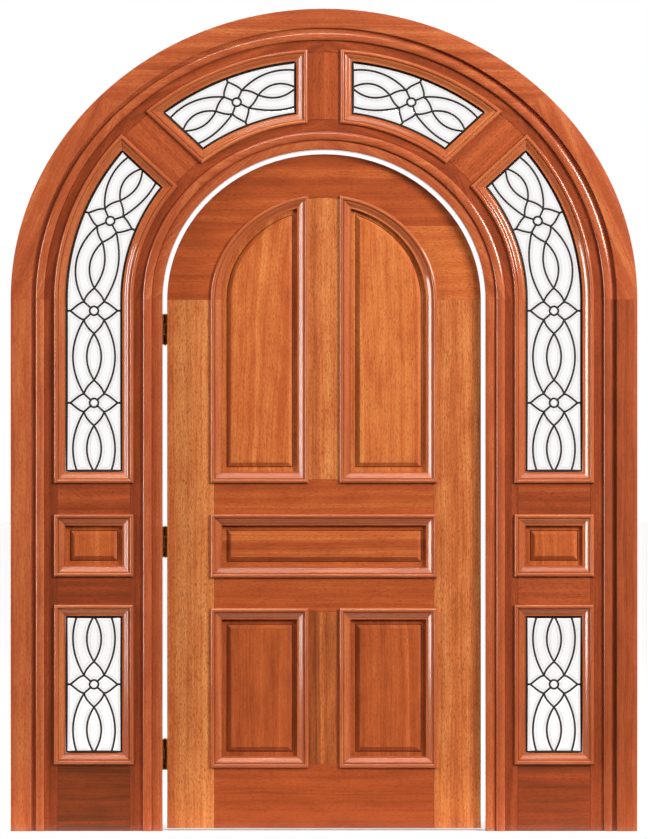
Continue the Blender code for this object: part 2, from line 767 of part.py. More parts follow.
def build_sidelights(wood, trim, panel, glass, came):
    """The rails, bars, panes, panels, mouldings and leading of the sidelights and transom lights."""
    left, right = SIGHT_INNER - AT_MEMBER + CLEAR, SIGHT_OUTER + AT_MEMBER - CLEAR
    middle = (SIGHT_INNER + SIGHT_OUTER) / 2
    spoke_turn = math.asin((SPOKE_FACE / 2 + MOULDING_WIDTH) / middle)
    post_turn = math.asin((CROWN_POST_FACE / 2 + MOULDING_WIDTH) / middle)
    transom_low = lane_height(SPOKE_ANGLE + spoke_turn)
    transom_high = lane_height(math.pi / 2 - post_turn)
    head_high = lane_height(SPOKE_ANGLE - spoke_turn)
    for side, flip in (("left", True), ("right", False)):
        ends = (-right, -left) if flip else (left, right)
        sights = (-SIGHT_OUTER, -SIGHT_INNER) if flip else (SIGHT_INNER, SIGHT_OUTER)
        rails = (
            ("bottom", 0.0, SIDE_LOWER_LOW - AT_MEMBER, (0, 1)),
            ("lock", SIDE_LOWER_HIGH + AT_MEMBER, SIDE_MIDDLE_LOW - AT_MEMBER, (1, 1)),
            ("upper", SIDE_MIDDLE_HIGH + AT_MEMBER, SIDE_HEAD_LOW - AT_MEMBER, (1, 1)),
        )
        for place_name, low, high, slots in rails:
            name = f"sidelight_{place_name}_rail_{side}"
            rail(name, *ends, low, high, SASH_FRONT, SASH_THICKNESS, wood, slots=slots)
        radial_bar(f"spoke_{side}", SPOKE_FACE, SPOKE_ANGLE, flip, wood)

        def handed(outline, flip=flip):
            return (lambda grow: mirrored(outline(grow))) if flip else outline

        lower = rectangle(*sights, SIDE_LOWER_LOW, SIDE_LOWER_HIGH)
        small = rectangle(*sights, SIDE_MIDDLE_LOW, SIDE_MIDDLE_HIGH)
        glazed = (
            ("sidelight_lower", lower),
            ("sidelight_upper", handed(side_head_outline)),
            ("transom", handed(transom_outline)),
        )
        for place_name, outline in glazed:
            moulding(f"{place_name}_moulding_{side}", outline, SASH_FRONT, SASH_THICKNESS, trim)
            pane(f"{place_name}_glass_{side}", outline, glass)
        moulding(f"sidelight_panel_moulding_{side}", small, SASH_FRONT, SASH_THICKNESS, trim)
        raised_panel(f"sidelight_panel_{side}", small, SASH_FRONT, SASH_THICKNESS, panel)

        lower_right = rectangle(SIGHT_INNER, SIGHT_OUTER, SIDE_LOWER_LOW, SIDE_LOWER_HIGH)
        leaded = (
            ("sidelight_lower", lower_right, SIDE_LOWER_LOW, SIDE_LOWER_HIGH),
            ("sidelight_upper", side_head_outline, SIDE_HEAD_LOW, head_high),
            ("transom", transom_outline, transom_low, transom_high),
        )
        for place_name, outline, low, high in leaded:
            flowers, pitch = flower_row(low, high)
            name = f"{place_name}_leading_{side}"
            leading(name, outline, flowers, pitch, low, high, flip, came)
    radial_bar("crown_post", CROWN_POST_FACE, math.pi / 2, False, wood)


def build_leaf(wood, rails, trim, panel, axis):
    """The door leaf: stiles, an arched top rail, rails and muntins round five raised panels."""
    front, thickness = LEAF_FRONT, LEAF_THICKNESS
    slot_front, slot_back = slot_levels(front, thickness)
    member_edge = LEAF_SIGHT + AT_MEMBER
    for side, flip in (("left", True), ("right", False)):
        ends = (-LEAF_EDGE, -member_edge) if flip else (member_edge, LEAF_EDGE)
        slots = (0, 1) if flip else (1, 0)
        upright(
            f"leaf_stile_{side}",
            *ends,
            FLOOR_GAP,
            SPRING - CLEAR,
            front,
            thickness,
            wood,
            axis,
            slots,
        )
    head = [
        (LEAF_EDGE, 0.0),
        (LEAF_EDGE, front),
        (member_edge, front),
        (member_edge, slot_front),
        (member_edge + SLOT_DEPTH, slot_front),
        (member_edge + SLOT_DEPTH, slot_back),
        (member_edge, slot_back),
        (member_edge, 0.0),
    ]
    place(along_arch(head, footed=False), "leaf_arched_rail", rails, axis)

    reach = member_edge - CLEAR
    leaf_rails = (
        ("bottom", FLOOR_GAP, LEAF_LOWER_LOW - AT_MEMBER, (0, 1)),
        ("lock", LEAF_LOWER_HIGH + AT_MEMBER, LEAF_MIDDLE_LOW - AT_MEMBER, (1, 1)),
        ("upper", LEAF_MIDDLE_HIGH + AT_MEMBER, LEAF_HEAD_LOW - AT_MEMBER, (1, 1)),
    )
    for name, low, high, slots in leaf_rails:
        rail(f"leaf_{name}_rail", -reach, reach, low, high, front, thickness, rails, axis, slots)
    half = LEAF_MUNTIN_FACE / 2 + MOULDING_LAP
    muntin_low = LEAF_LOWER_LOW - AT_MEMBER + CLEAR
    muntin_high = LEAF_LOWER_HIGH + AT_MEMBER - CLEAR
    upright("leaf_lower_muntin", -half, half, muntin_low, muntin_high, front, thickness, wood, axis)

    def head_muntin_outline(depth):
        low = LEAF_HEAD_LOW - AT_MEMBER + CLEAR
        turn = math.acos((half - depth) / reach)
        return [(-half + depth, low), (half - depth, low), *arc(reach, turn, math.pi - turn)]

    member("leaf_upper_muntin", head_muntin_outline, front, thickness, wood, axis)

    inner = LEAF_MUNTIN_FACE / 2 + MOULDING_WIDTH
    openings = {
        "lower_left": rectangle(-LEAF_SIGHT, -inner, LEAF_LOWER_LOW, LEAF_LOWER_HIGH),
        "lower_right": rectangle(inner, LEAF_SIGHT, LEAF_LOWER_LOW, LEAF_LOWER_HIGH),
        "middle": rectangle(-LEAF_SIGHT, LEAF_SIGHT, LEAF_MIDDLE_LOW, LEAF_MIDDLE_HIGH),
        "arched_left": lambda grow: mirrored(leaf_head_outline(grow)),
        "arched_right": leaf_head_outline,
    }
    for name, outline in openings.items():
        raised_panel(f"leaf_panel_{name}", outline, front, thickness, panel, axis)
        moulding(f"leaf_moulding_{name}", outline, front, thickness, trim, axis)


def build_hinges(brass, axis):
    """Three butt hinges in the gap at the leaf's left edge, their knuckles behind it."""
    on_frame = -OPENING_EDGE + CLEAR
    on_leaf = -LEAF_EDGE - CLEAR
    for place_name, height in zip(("bottom", "middle", "top"), HINGE_HEIGHTS):
        frame_plate = (on_frame, on_frame + HINGE_LEAF_THICKNESS)
        leaf_plate = (on_leaf, on_leaf - HINGE_LEAF_THICKNESS)
        hinge_half(f"hinge_{place_name}_frame_leaf", frame_plate, height, (0, 2), False, brass)
        hinge_half(f"hinge_{place_name}_door_leaf", leaf_plate, height, (1,), True, brass, axis)


clear_scene()
DOORWAY = bpy.data.collections.new("arched_doorway")
HELPERS = bpy.data.collections.new("helpers")
bpy.context.scene.collection.children.link(DOORWAY)
bpy.context.scene.collection.children.link(HELPERS)

leaf_axis = bpy.data.objects.new("leaf_axis", None)
leaf_axis.location = (*HINGE_AXIS, 0.0)
DOORWAY.objects.link(leaf_axis)
bpy.context.view_layer.update()

mahogany = material("mahogany", (0.40, 0.115, 0.030), 0.28)
golden_mahogany = material("golden_mahogany", (0.47, 0.165, 0.045), 0.28)
dark_mahogany = material("dark_mahogany", (0.27, 0.070, 0.022), 0.28)
mahogany_panel = material("mahogany_panel", (0.43, 0.125, 0.035), 0.28)
mahogany_moulding = material("mahogany_moulding", (0.45, 0.11, 0.030), 0.22)
clear_glass = material("clear_glass", (0.95, 0.96, 0.96), 0.02, transmission=1.0)
lead_came = material("lead_came", (0.020, 0.016, 0.014), 0.45, metallic=0.6)
hinge_brass = material("hinge_brass", (0.60, 0.42, 0.16), 0.3, metallic=1.0)

build_frame(mahogany)
build_sash_rings(dark_mahogany)
build_sidelights(dark_mahogany, mahogany_moulding, mahogany_panel, clear_glass, lead_came)
build_leaf(golden_mahogany, mahogany, mahogany_moulding, mahogany_panel, leaf_axis)
build_hinges(hinge_brass, leaf_axis)
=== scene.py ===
"""The looks of an arched doorway: lacquered mahogany, leaded bevelled glass and brass hinges.

Metres, +Z up. X runs across the doorway from its centre line, and the front faces -Y. Every arch is a half
circle about the spring line, flattened by the doorway's rise, and its angles are those of the circle before
it is flattened, from +X. An opening is named by its sight line, the inner edge of its moulding, and its
outline is grown outwards from there. Each wooden piece carries its place in the log that it was sawn from as
an attribute, so that the grain runs with the piece.
"""

from __future__ import annotations

import logging
import math
import random
from collections.abc import Callable, Iterable, Mapping, Sequence
from dataclasses import dataclass, field
from enum import Enum

import bmesh
import bpy
import numpy as np
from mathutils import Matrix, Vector
from mathutils.geometry import delaunay_2d_cdt

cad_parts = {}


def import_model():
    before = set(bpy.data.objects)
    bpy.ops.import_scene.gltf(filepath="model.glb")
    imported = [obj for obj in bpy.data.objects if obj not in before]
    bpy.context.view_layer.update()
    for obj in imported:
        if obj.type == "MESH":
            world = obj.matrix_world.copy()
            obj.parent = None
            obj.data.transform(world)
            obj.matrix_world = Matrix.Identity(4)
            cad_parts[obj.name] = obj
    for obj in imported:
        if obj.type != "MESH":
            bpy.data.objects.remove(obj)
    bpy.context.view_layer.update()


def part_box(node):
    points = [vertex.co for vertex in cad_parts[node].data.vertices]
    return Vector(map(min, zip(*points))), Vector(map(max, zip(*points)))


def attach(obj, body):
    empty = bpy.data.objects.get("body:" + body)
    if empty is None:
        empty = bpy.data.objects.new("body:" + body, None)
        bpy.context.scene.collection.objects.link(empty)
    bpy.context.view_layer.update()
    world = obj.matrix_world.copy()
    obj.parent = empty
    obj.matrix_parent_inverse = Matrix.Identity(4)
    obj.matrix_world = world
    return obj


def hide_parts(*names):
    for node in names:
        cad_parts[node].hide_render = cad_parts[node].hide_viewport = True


LOG = logging.getLogger("doorway")

Pair = tuple[float, float]
Triple = tuple[float, float, float]
Point = tuple[float, float]
Place = tuple[float, float, float]
Outline = Callable[[float], list[Point]]
MemberOutline = Callable[[float, float], list[Point]]
Material = bpy.types.Material
Mesh = bpy.types.Mesh
Tree = bpy.types.NodeTree
Node = bpy.types.Node
Socket = bpy.types.NodeSocket

# The steps of a drawn arc, of a bar's short ends and of the table of the lights' middle line
ARC_STEPS = 40
END_STEPS = 8
LANE_STEPS = 360

# The play between pieces that touch, the ease of a member's edges, the distance under which two points are
# one, the digits that it leaves, and the angle under which faces shade as one
CLEAR = 0.0003
EASE = 0.0009
SAME_POINT = 0.000002
DIGITS = 6
SMOOTH_BELOW = math.radians(18.0)

EIGHTH = math.pi / 4

# Node types that come up often
MATH = "ShaderNodeMath"
VECTOR_MATH = "ShaderNodeVectorMath"
NOISE = "ShaderNodeTexNoise"
RAMP = "ShaderNodeValToRGB"
MAP_RANGE = "ShaderNodeMapRange"
COMBINE = "ShaderNodeCombineXYZ"
TRANSFORM = "GeometryNodeTransform"
ON_POINTS = "GeometryNodeInstanceOnPoints"


class Side(Enum):
    """A side of the doorway, by the sign of its X."""

    LEFT = -1
    RIGHT = 1

    @property
    def word(self) -> str:
        """The side's name in node names."""
        return self.name.lower()

    def ends(self, inner: float, outer: float) -> list[float]:
        """The left and the right end of what reaches from one half span to another on this side."""
        return sorted((self.value * inner, self.value * outer))


class Body(Enum):
    """The two bodies that the hinge joins."""

    FRAME = "frame"
    LEAF = "leaf"


class Cut(Enum):
    """How a board was sawn: where the pith lies from its face (across, behind) and how fast it runs out."""

    STRAIGHT = (0.21, 0.06, 0.012)
    CATHEDRAL = (0.012, 0.030, 0.085)
    RIBBON = (0.09, 0.12, 0.030)


# Colours, nodes and finishes


def linear(colour: str) -> tuple[float, float, float, float]:
    """Turns an sRGB hex colour to linear.

    Args:
        colour: Six hex digits.

    Returns:
        Linear red, green and blue, and an alpha of one.
    """
    shares = [int(colour[k : k + 2], 16) / 255 for k in (0, 2, 4)]
    made = [s / 12.92 if s <= 0.04045 else ((s + 0.055) / 1.055) ** 2.4 for s in shares]
    return (*made, 1.0)


def add(
    tree: Tree,
    kind: str,
    inputs: Mapping[int | str, object] | None = None,
    stops: Iterable[tuple[float, str]] = (),
    **settings: object,
) -> Node:
    """Adds a node to a tree.

    Args:
        tree: The tree that gets the node.
        kind: The node's type name.
        inputs: For each input socket a value, a socket to link it from, a node whose first output links to
            it, or a list of those.
        stops: A ramp's places from 0 to 1 and their hex colours.
        **settings: The node's own properties.

    Returns:
        The new node.
    """
    node = tree.nodes.new(kind)
    for name, value in settings.items():
        setattr(node, name, value)
    for number, (place, colour) in enumerate(stops):
        elements = node.color_ramp.elements
        stop = elements[number] if number < len(elements) else elements.new(1.0)
        stop.position, stop.color = place, linear(colour)
    for key, value in (inputs or {}).items():
        for source in value if isinstance(value, list) else [value]:
            if isinstance(source, Node):
                source = source.outputs[0]
            if isinstance(source, Socket):
                tree.links.new(source, node.inputs[key])
            else:
                node.inputs[key].default_value = source
    return node


def new_material(name: str, inputs: Mapping[str, object]) -> tuple[Material, Node]:
    """Makes a material.

    Args:
        name: The finish's name.
        inputs: Plain values for its shader's sockets.

    Returns:
        The material and its Principled BSDF.
    """
    made = bpy.data.materials.new(name)
    made.use_nodes = True
    shader = made.node_tree.nodes["Principled BSDF"]
    for key, value in inputs.items():
        shader.inputs[key].default_value = value
    return made, shader


@dataclass(frozen=True)
class WoodFinish:
    """Mahogany, planed, given a stain and lacquered: deep, warm and glossy, with dark pores along the grain.

    The pattern reads the timber attribute, in metres across, through and along the log. The lacquer soaks
    into the wood, so nearly all the gloss is its own. A pore is 0.2 mm wide and 2 to 8 mm long, and a fibre
    is finer still, which is under a pixel, so both are drawn about 2 mm wide and as long as several.

    Sizes are in metres, across and along the grain. The layers are the year rings and wider bands, each
    with its share of the figure, and the grains are streaks, mottle and fibres with theirs.
    """

    name: str
    dark: str
    middle: str
    light: str
    contrast: float = 1.0
    pores: float = 0.42
    coat: float = 0.9
    coat_roughness: float = 0.14
    roughness: float = 0.5
    sheen: float = 0.1
    ior: float = 1.5
    layers: tuple[Pair, ...] = ((0.0055, 0.14), (0.030, 0.32))
    grains: tuple[Triple, ...] = ((0.0060, 0.160, 0.16), (0.040, 0.130, 0.22), (0.0019, 0.030, 0.16))
    spread: float = 0.26
    pore: Pair = (0.0021, 0.010)
    pore_range: Pair = (0.50, 0.68)
    pore_bump: Pair = (0.25, 0.0003)
    wave: Pair = (1 / 14, 1 / 2.6)
    waviness: float = 0.014

    def noise(self, tree: Tree, place: Socket, size: Sequence[float], detail: float) -> Node:
        """Adds noise drawn out along the grain.

        Args:
            tree: The material's tree.
            place: The place in the log.
            size: Its size across and along the grain.
            detail: The noise's detail.

        Returns:
            The noise node.
        """
        across, along = size[:2]
        scale = (1 / across, 1 / across, 1 / along)
        scaled = add(tree, VECTOR_MATH, {0: place, 1: scale}, operation="MULTIPLY")
        return add(tree, NOISE, {"Vector": scaled, "Scale": 1.0, "Detail": detail})

    def radius(self, tree: Tree, place: Socket) -> Socket:
        """Adds the distance from the pith, made wavy.

        Args:
            tree: The material's tree.
            place: The place in the log.

        Returns:
            The distance in metres.
        """
        wave = self.noise(tree, place, self.wave, 2.0).outputs["Color"]
        centred = add(tree, VECTOR_MATH, {0: wave, 1: (0.5, 0.5, 0.5)}, operation="SUBTRACT")
        amount = (2 * self.waviness, 2 * self.waviness, 0.0)
        moved = add(tree, VECTOR_MATH, {0: centred, 1: amount, 2: place}, operation="MULTIPLY_ADD")
        flat = add(tree, VECTOR_MATH, {0: moved, 1: (1.0, 1.0, 0.0)}, operation="MULTIPLY")
        return add(tree, VECTOR_MATH, {0: flat}, operation="LENGTH").outputs["Value"]

    def figure(self, tree: Tree, place: Socket) -> Node:
        """Adds the figure: rings, bands, streaks, mottle and fibres on the board's own tone.

        Args:
            tree: The material's tree.
            place: The place in the log.

        Returns:
            The node that gives it, from 0 dark to 1 light.
        """
        radius = self.radius(tree, place)
        total = add(tree, "ShaderNodeAttribute", attribute_name="tone").outputs["Fac"]
        parts = []
        for size, share in self.layers:
            turns = add(tree, MATH, {0: radius, 1: 1 / size}, operation="MULTIPLY")
            layer = add(tree, NOISE, {"W": turns, "Scale": 1.0, "Detail": 1.0}, noise_dimensions="1D")
            parts.append((layer, share))
        parts += [(self.noise(tree, place, grain, 2.0), grain[2]) for grain in self.grains]
        for part, share in parts:
            total = add(tree, MATH, {0: part, 1: share, 2: total}, operation="MULTIPLY_ADD")
        half = self.spread / self.contrast
        return add(tree, MAP_RANGE, {"Value": total, "From Min": 0.5 - half, "From Max": 0.5 + half})

    def material(self) -> Material:
        """Makes the material.

        Returns:
            The material.
        """
        values = {
            "Roughness": self.roughness,
            "IOR": self.ior,
            "Specular IOR Level": self.sheen,
            "Coat Weight": self.coat,
            "Coat Roughness": self.coat_roughness,
            "Coat IOR": self.ior,
        }
        made, shader = new_material(self.name, values)
        tree = made.node_tree
        place = add(tree, "ShaderNodeAttribute", attribute_name="timber").outputs["Vector"]
        stops = ((0.0, self.dark), (0.5, self.middle), (1.0, self.light))
        ramp = add(tree, RAMP, {"Fac": self.figure(tree, place)}, stops)
        spots = self.noise(tree, place, self.pore, 1.0)
        low, high = self.pore_range
        deepening = {"Value": spots, "From Min": low, "From Max": high, "To Max": self.pores}
        pore = add(tree, MAP_RANGE, deepening)
        mix = {"Factor": pore, 6: ramp, 7: linear(self.dark)}
        shade = add(tree, "ShaderNodeMix", mix, data_type="RGBA")
        strength, depth = self.pore_bump
        relief = {"Strength": strength, "Distance": depth, "Height": pore}
        bump = add(tree, "ShaderNodeBump", relief, invert=True)
        tree.links.new(shade.outputs[2], shader.inputs["Base Color"])
        tree.links.new(bump.outputs[0], shader.inputs["Normal"])
        return made


@dataclass(frozen=True)
class GlassFinish:
    """Plate glass, polished after its edge is ground to a bevel; a tint on a slope is painted shade for what
    the bevel refracts.
    """

    name: str
    colour: str
    ior: float = 1.5

    def material(self) -> Material:
        """Makes the material, all of plain values."""
        values = {"Base Color": linear(self.colour), "Roughness": 0.0, "IOR": self.ior}
        return new_material(self.name, {**values, "Transmission Weight": 1.0})[0]


@dataclass(frozen=True)
class MetalFinish:
    """A metal whose tone and gloss drift from place to place, as cast, drawn or handled metal does.

    A patch is in metres, and the dent is a bump's strength and depth.
    """

    name: str
    dull: str
    bright: str
    metallic: float
    roughness: Pair
    patch: float
    share: Pair = (0.35, 0.65)
    dent: Pair = (0.3, 0.0002)

    def material(self) -> Material:
        """Makes the material.

        Returns:
            The material.
        """
        made, shader = new_material(self.name, {"Metallic": self.metallic})
        tree = made.node_tree
        place = add(tree, "ShaderNodeTexCoord").outputs["Object"]
        noise = add(tree, NOISE, {"Vector": place, "Scale": 1 / self.patch, "Detail": 3.0})
        ramp = add(tree, RAMP, {"Fac": noise}, zip(self.share, (self.dull, self.bright)))
        smooth, rough = self.roughness
        gloss = add(tree, MAP_RANGE, {"Value": noise, "To Min": rough, "To Max": smooth})
        strength, depth = self.dent
        bump = add(tree, "ShaderNodeBump", {"Strength": strength, "Distance": depth, "Height": noise})
        for node, socket in ((ramp, "Base Color"), (gloss, "Roughness"), (bump, "Normal")):
            tree.links.new(node.outputs[0], shader.inputs[socket])
        return made


def wood(*looks: str, **settings: float) -> Material:
    """A field with a wood finish of this name and these three colours, from dark to light."""
    return field(default_factory=WoodFinish(*looks, **settings).material)


@dataclass(frozen=True)
class Finishes:
    """Every material of the doorway, each made once.

    The casing is of an even red-brown, and the sash has a darker stain. The leaf's uprights are golden, with
    long streaks and open pores, and its rails redder and more even. The panels are broad and warm, their
    lacquer rubbed a little softer, and the quirks at the foot of their bevels are painted nearly black as
    painted shade, where those grooves fall into shadow. The mouldings' thicker lacquer gives each run a
    bright line. The lead is drawn and blackened, nearly black with a dull gloss, and the brass is rolled and
    brushed, a soft yellow gloss that drifts where it is handled.
    """

    frame: Material = wood("mahogany_casing", "813818", "AE532C", "CE7A46", contrast=1.15, pores=0.5)
    sash: Material = wood("mahogany_sash", "5C2C11", "923E1C", "B8582C", pores=0.5)
    stile: Material = wood("golden_mahogany", "7E3A18", "BE6633", "E09352", contrast=1.3, pores=0.6)
    rail: Material = wood("red_mahogany", "803516", "AD5024", "CC7237", contrast=0.9, pores=0.55)
    panel: Material = wood(
        "mahogany_panel", "863816", "BA5C2B", "DC8846", contrast=1.1, pores=0.5, coat_roughness=0.18
    )
    # The quirk's near-black finish is painted shade, laid in the grooves at the foot of the panels' bevels
    quirk: Material = wood("stained_quirk", "1E0B06", "2E120A", "44200F", coat=0.5, coat_roughness=0.4)
    moulding: Material = wood(
        "mahogany_moulding", "863C1B", "B35A30", "D07D4A", coat=1.0, coat_roughness=0.11
    )
    glass: Material = field(default_factory=GlassFinish("plate_glass", "FFFFFF").material)
    # The bevel's and the arris's grey tints are painted shade, standing in for the darker surroundings that
    # a bevel refracts
    bevel: Material = field(default_factory=GlassFinish("ground_glass_bevel", "EFE9E8").material)
    arris: Material = field(default_factory=GlassFinish("glass_arris", "CDC4C2").material)
    came: Material = field(
        default_factory=MetalFinish("blackened_lead", "080605", "15110F", 0.2, (0.5, 0.7), 0.012).material
    )
    brass: Material = field(
        default_factory=MetalFinish("satin_brass", "8F6A2C", "C79C4B", 1.0, (0.22, 0.40), 0.008).material
    )


# The doorway's lines


@dataclass(frozen=True)
class Opening:
    """An opening's outline, grown outwards from its sight line, and the corners where its runs meet."""

    outline: Outline
    corners: tuple[int, ...]

    def flipped(self) -> Opening:
        """The opening's mirror image across the centre line.

        Returns:
            The other opening.
        """
        last = len(self.outline(0.0)) - 1
        corners = tuple(sorted(last - corner for corner in self.corners))
        return Opening(lambda grow: mirrored(self.outline(grow)), corners)

    def on(self, side: Side) -> Opening:
        """The opening as it lies on a side, if it was drawn on the right."""
        return self if side is Side.RIGHT else self.flipped()

    def run(self, start: int, end: int, grow: float) -> list[Point]:
        """The points from one corner to another, at this growth."""
        outline = self.outline(grow)
        return [outline[k % len(outline)] for k in range(start, end + 1)]

    def runs(self) -> list[tuple[int, int]]:
        """The first and the last point number of each run between corners."""
        ends = [*self.corners[1:], self.corners[0] + len(self.outline(0.0))]
        return list(zip(self.corners, ends))


def mirrored(points: Sequence[Point]) -> list[Point]:
    """An outline's mirror image across the centre line, run the same way round."""
    return [(-x, z) for x, z in reversed(points)]


def box_corners(left: float, right: float, low: float, high: float) -> list[Point]:
    """The corners of a rectangle, from its lower left one."""
    return [(left, low), (right, low), (right, high), (left, high)]


def rectangle(left: float, right: float, low: float, high: float) -> Opening:
    """A rectangular opening.

    Args:
        left: Its left sight line.
        right: Its right one.
        low: Its lower one.
        high: Its upper one.

    Returns:
        The opening.
    """

    def outline(grow: float) -> list[Point]:
        """The outline at this growth."""
        return box_corners(left - grow, right + grow, low - grow, high + grow)

    return Opening(outline, (0, 1, 2, 3))


@dataclass(frozen=True)
class Moulding:
    """The bolection moulding: a lap on the member's face, a bead, a quirk and an ogee down to the glass.

    Widths run out from the sight line. The bead stands proud of the member's face, and its sides and the
    quirk's floor lie edge and quirk above that face. The inner edge reaches fall below it.
    """

    width: float = 0.033
    lap: float = 0.010
    proud: float = 0.010
    edge: float = 0.005
    bead: float = 0.011
    quirk: float = 0.0030
    quirk_side: float = 0.0004
    quirk_floor: float = 0.0008
    fall: float = 0.009
    ogee_top: float = 0.0006
    ogee_rise: float = 0.0042
    flat: float = 0.0030
    lean: float = 0.0006
    bead_steps: int = 14
    ogee_steps: int = 12

    @property
    def member(self) -> float:
        """How far a member's edge lies out from the sight line."""
        return self.width - self.lap

    def section(self, seat: float) -> list[Point]:
        """The closed section.

        Args:
            seat: The height of the glass or panel that it sits on, which is below the face and so negative.

        Returns:
            Points of (growth from the sight line, height above the member's face).
        """
        half = self.bead / 2
        points = [(self.width, CLEAR)]
        for k in range(self.bead_steps + 1):
            turn = math.pi * k / self.bead_steps
            height = self.edge + (self.proud - self.edge) * math.sin(turn)
            points.append((self.width - half + half * math.cos(turn), height))
        near = self.width - self.bead - self.quirk_side
        far = near - self.quirk_floor
        points += [(near, self.quirk), (far, self.quirk)]
        high, top, foot = far - self.quirk_side, self.edge - self.ogee_top, self.ogee_rise - self.fall
        for k in range(self.ogee_steps + 1):
            share = k / self.ogee_steps
            fallen = 0.5 - 0.5 * math.cos(math.pi * share)
            points.append((high + (self.flat - high) * share, top + (foot - top) * fallen))
        points += [(self.lean, foot), (0.0, -self.fall), (0.0, seat + CLEAR)]
        tongue = self.member - CLEAR
        return [*points, (tongue, seat + CLEAR), (tongue, CLEAR)]


@dataclass(frozen=True)
class Doorway:
    """The doorway's main lines as the frame's nodes have them, in metres.

    Half spans run out from the centre line and heights up from the feet. A depth is a place on Y, which is
    0 at the frame's back and falls towards its front.
    """

    spring: float
    rise: float
    casing_edge: float
    casing_front: float
    outer_sash_edge: float
    inner_sash_edge: float
    leaf_edge: float
    leaf_sight: float
    leaf_foot: float
    leaf_front: float
    sight_inner: float
    sight_outer: float
    sash_front: float
    sash_back: float
    mould: Moulding = Moulding()
    leaf_gap: float = 0.013
    lining_width: float = 0.0305
    frame_bead_width: float = 0.0245
    groove_width: float = 0.013
    spoke_angle: float = EIGHTH
    spoke_face: float = 0.100
    post_face: float = 0.096
    muntin_face: float = 0.091
    slot: float = 0.010
    slot_depth: float = 0.009
    panel_play: float = 0.001
    sash_rest: float = 0.012

    @classmethod
    def from_frame(cls) -> Doorway:
        """Reads the lines from the frame.

        Returns:
            The doorway.
        """
        mould = Moulding()
        casing_low, casing_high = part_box("outer_frame")
        stile_low, stile_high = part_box("leaf_stile_right")
        ring_low, ring_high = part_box("sash_outer_ring")
        light_low, light_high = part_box("sidelight_lower_moulding_right")
        spring = stile_high.z + CLEAR
        return cls(
            spring=spring,
            rise=(casing_high.z - spring) / casing_high.x,
            casing_edge=casing_high.x,
            casing_front=casing_low.y,
            outer_sash_edge=ring_high.x + CLEAR,
            inner_sash_edge=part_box("inner_frame")[1].x - cls.sash_rest,
            leaf_edge=stile_high.x,
            leaf_sight=stile_low.x - mould.member,
            leaf_foot=stile_low.z,
            leaf_front=stile_low.y,
            sight_inner=light_low.x + mould.width,
            sight_outer=light_high.x - mould.width,
            sash_front=ring_low.y,
            sash_back=ring_high.y,
        )

    @property
    def opening_edge(self) -> float:
        """The half span that the leaf closes."""
        return self.leaf_edge + self.leaf_gap

    @property
    def lane_span(self) -> float:
        """The half span of the middle line of the lights."""
        return (self.sight_inner + self.sight_outer) / 2

    @property
    def muntin_sight(self) -> float:
        """The half span of the sight lines beside the muntins."""
        return self.muntin_face / 2 + self.mould.width

    def bar_turn(self, face: float, radius: float, grow: float = 0.0) -> float:
        """The angle on the arch of this half span from a bar's axis to the sight line beside it."""
        return math.asin((face / 2 + self.mould.width - grow) / radius)

    def arch(self, radius: float, angle: float) -> Point:
        """The point at an angle of the arch of this half span."""
        return (radius * math.cos(angle), self.spring + self.rise * radius * math.sin(angle))

    def arc(self, radius: float, start: float, end: float, steps: int = ARC_STEPS) -> list[Point]:
        """The arch of this half span between two angles."""
        return [self.arch(radius, start + (end - start) * k / steps) for k in range(steps + 1)]

    def arc_over(self, radius: float, half: float) -> list[Point]:
        """The arc of this half span over an upright bar of this half width."""
        turn = math.acos(half / radius)
        return self.arc(radius, turn, math.pi - turn, END_STEPS)

    def carried(self, section: Sequence[Point], start: float, end: float) -> list[list[Place]]:
        """A section of (half span, depth) points carried round the arch between two angles, as rings."""
        paths = [(self.arc(radius, start, end), depth) for radius, depth in section]
        return [[(path[k][0], depth, path[k][1]) for path, depth in paths] for k in range(ARC_STEPS + 1)]

    def sights(self, node: str) -> Pair:
        """The lower and the upper sight line of the opening that a moulding's node goes round."""
        low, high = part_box(node)
        return low.z + self.mould.width, high.z - self.mould.width

    def lane_table(self) -> tuple[np.ndarray, np.ndarray]:
        """Angles, and how far up the lights' middle line each lies, counted from the floor.

        Returns:
            The angles and the heights.
        """
        angles = np.linspace(0, math.pi / 2, LANE_STEPS + 1)
        across, up = self.lane_span * np.cos(angles), self.rise * self.lane_span * np.sin(angles)
        lengths = np.cumsum(np.hypot(np.diff(across), np.diff(up)))
        return angles, self.spring + np.concatenate([[0], lengths])

    def lane_height(self, angle: float) -> float:
        """How far up the lights' middle line an angle lies."""
        return float(np.interp(angle, *self.lane_table()))

    def in_lane(self, across: float, up: float) -> Point:
        """The place in the right-hand lights of a point across and up their middle line.

        Args:
            across: How far out from the line.
            up: How far along it, from the floor.

        Returns:
            The place.
        """
        radius = self.lane_span + across
        if up <= self.spring:
            return (radius, up)
        angles, heights = self.lane_table()
        return self.arch(radius, float(np.interp(up, heights, angles)))

    def leaf_head(self, low: float) -> Opening:
        """The right half of the leaf's arched opening.

        Args:
            low: Its lower sight line.

        Returns:
            The opening.
        """

        def outline(grow: float) -> list[Point]:
            """The outline at this growth."""
            radius, foot, muntin = self.leaf_sight + grow, low - grow, self.muntin_sight - grow
            return [(muntin, foot), (radius, foot), *self.arc(radius, 0.0, math.acos(muntin / radius))]

        return Opening(outline, (0, 1, 2, 2 + ARC_STEPS))

    def side_head(self, low: float) -> Opening:
        """The right sidelight's head: straight up to the spring line, then round as far as the spoke.

        Args:
            low: Its lower sight line.

        Returns:
            The opening.
        """

        def arc(radius: float, grow: float) -> list[Point]:
            """The arc of this half span up to the spoke, at this growth."""
            return self.arc(radius, 0.0, self.spoke_angle - self.bar_turn(self.spoke_face, radius, grow))

        def outline(grow: float) -> list[Point]:
            """The outline at this growth."""
            inner, outer, foot = self.sight_inner - grow, self.sight_outer + grow, low - grow
            return [(inner, foot), (outer, foot), *arc(outer, grow), *reversed(arc(inner, grow))]

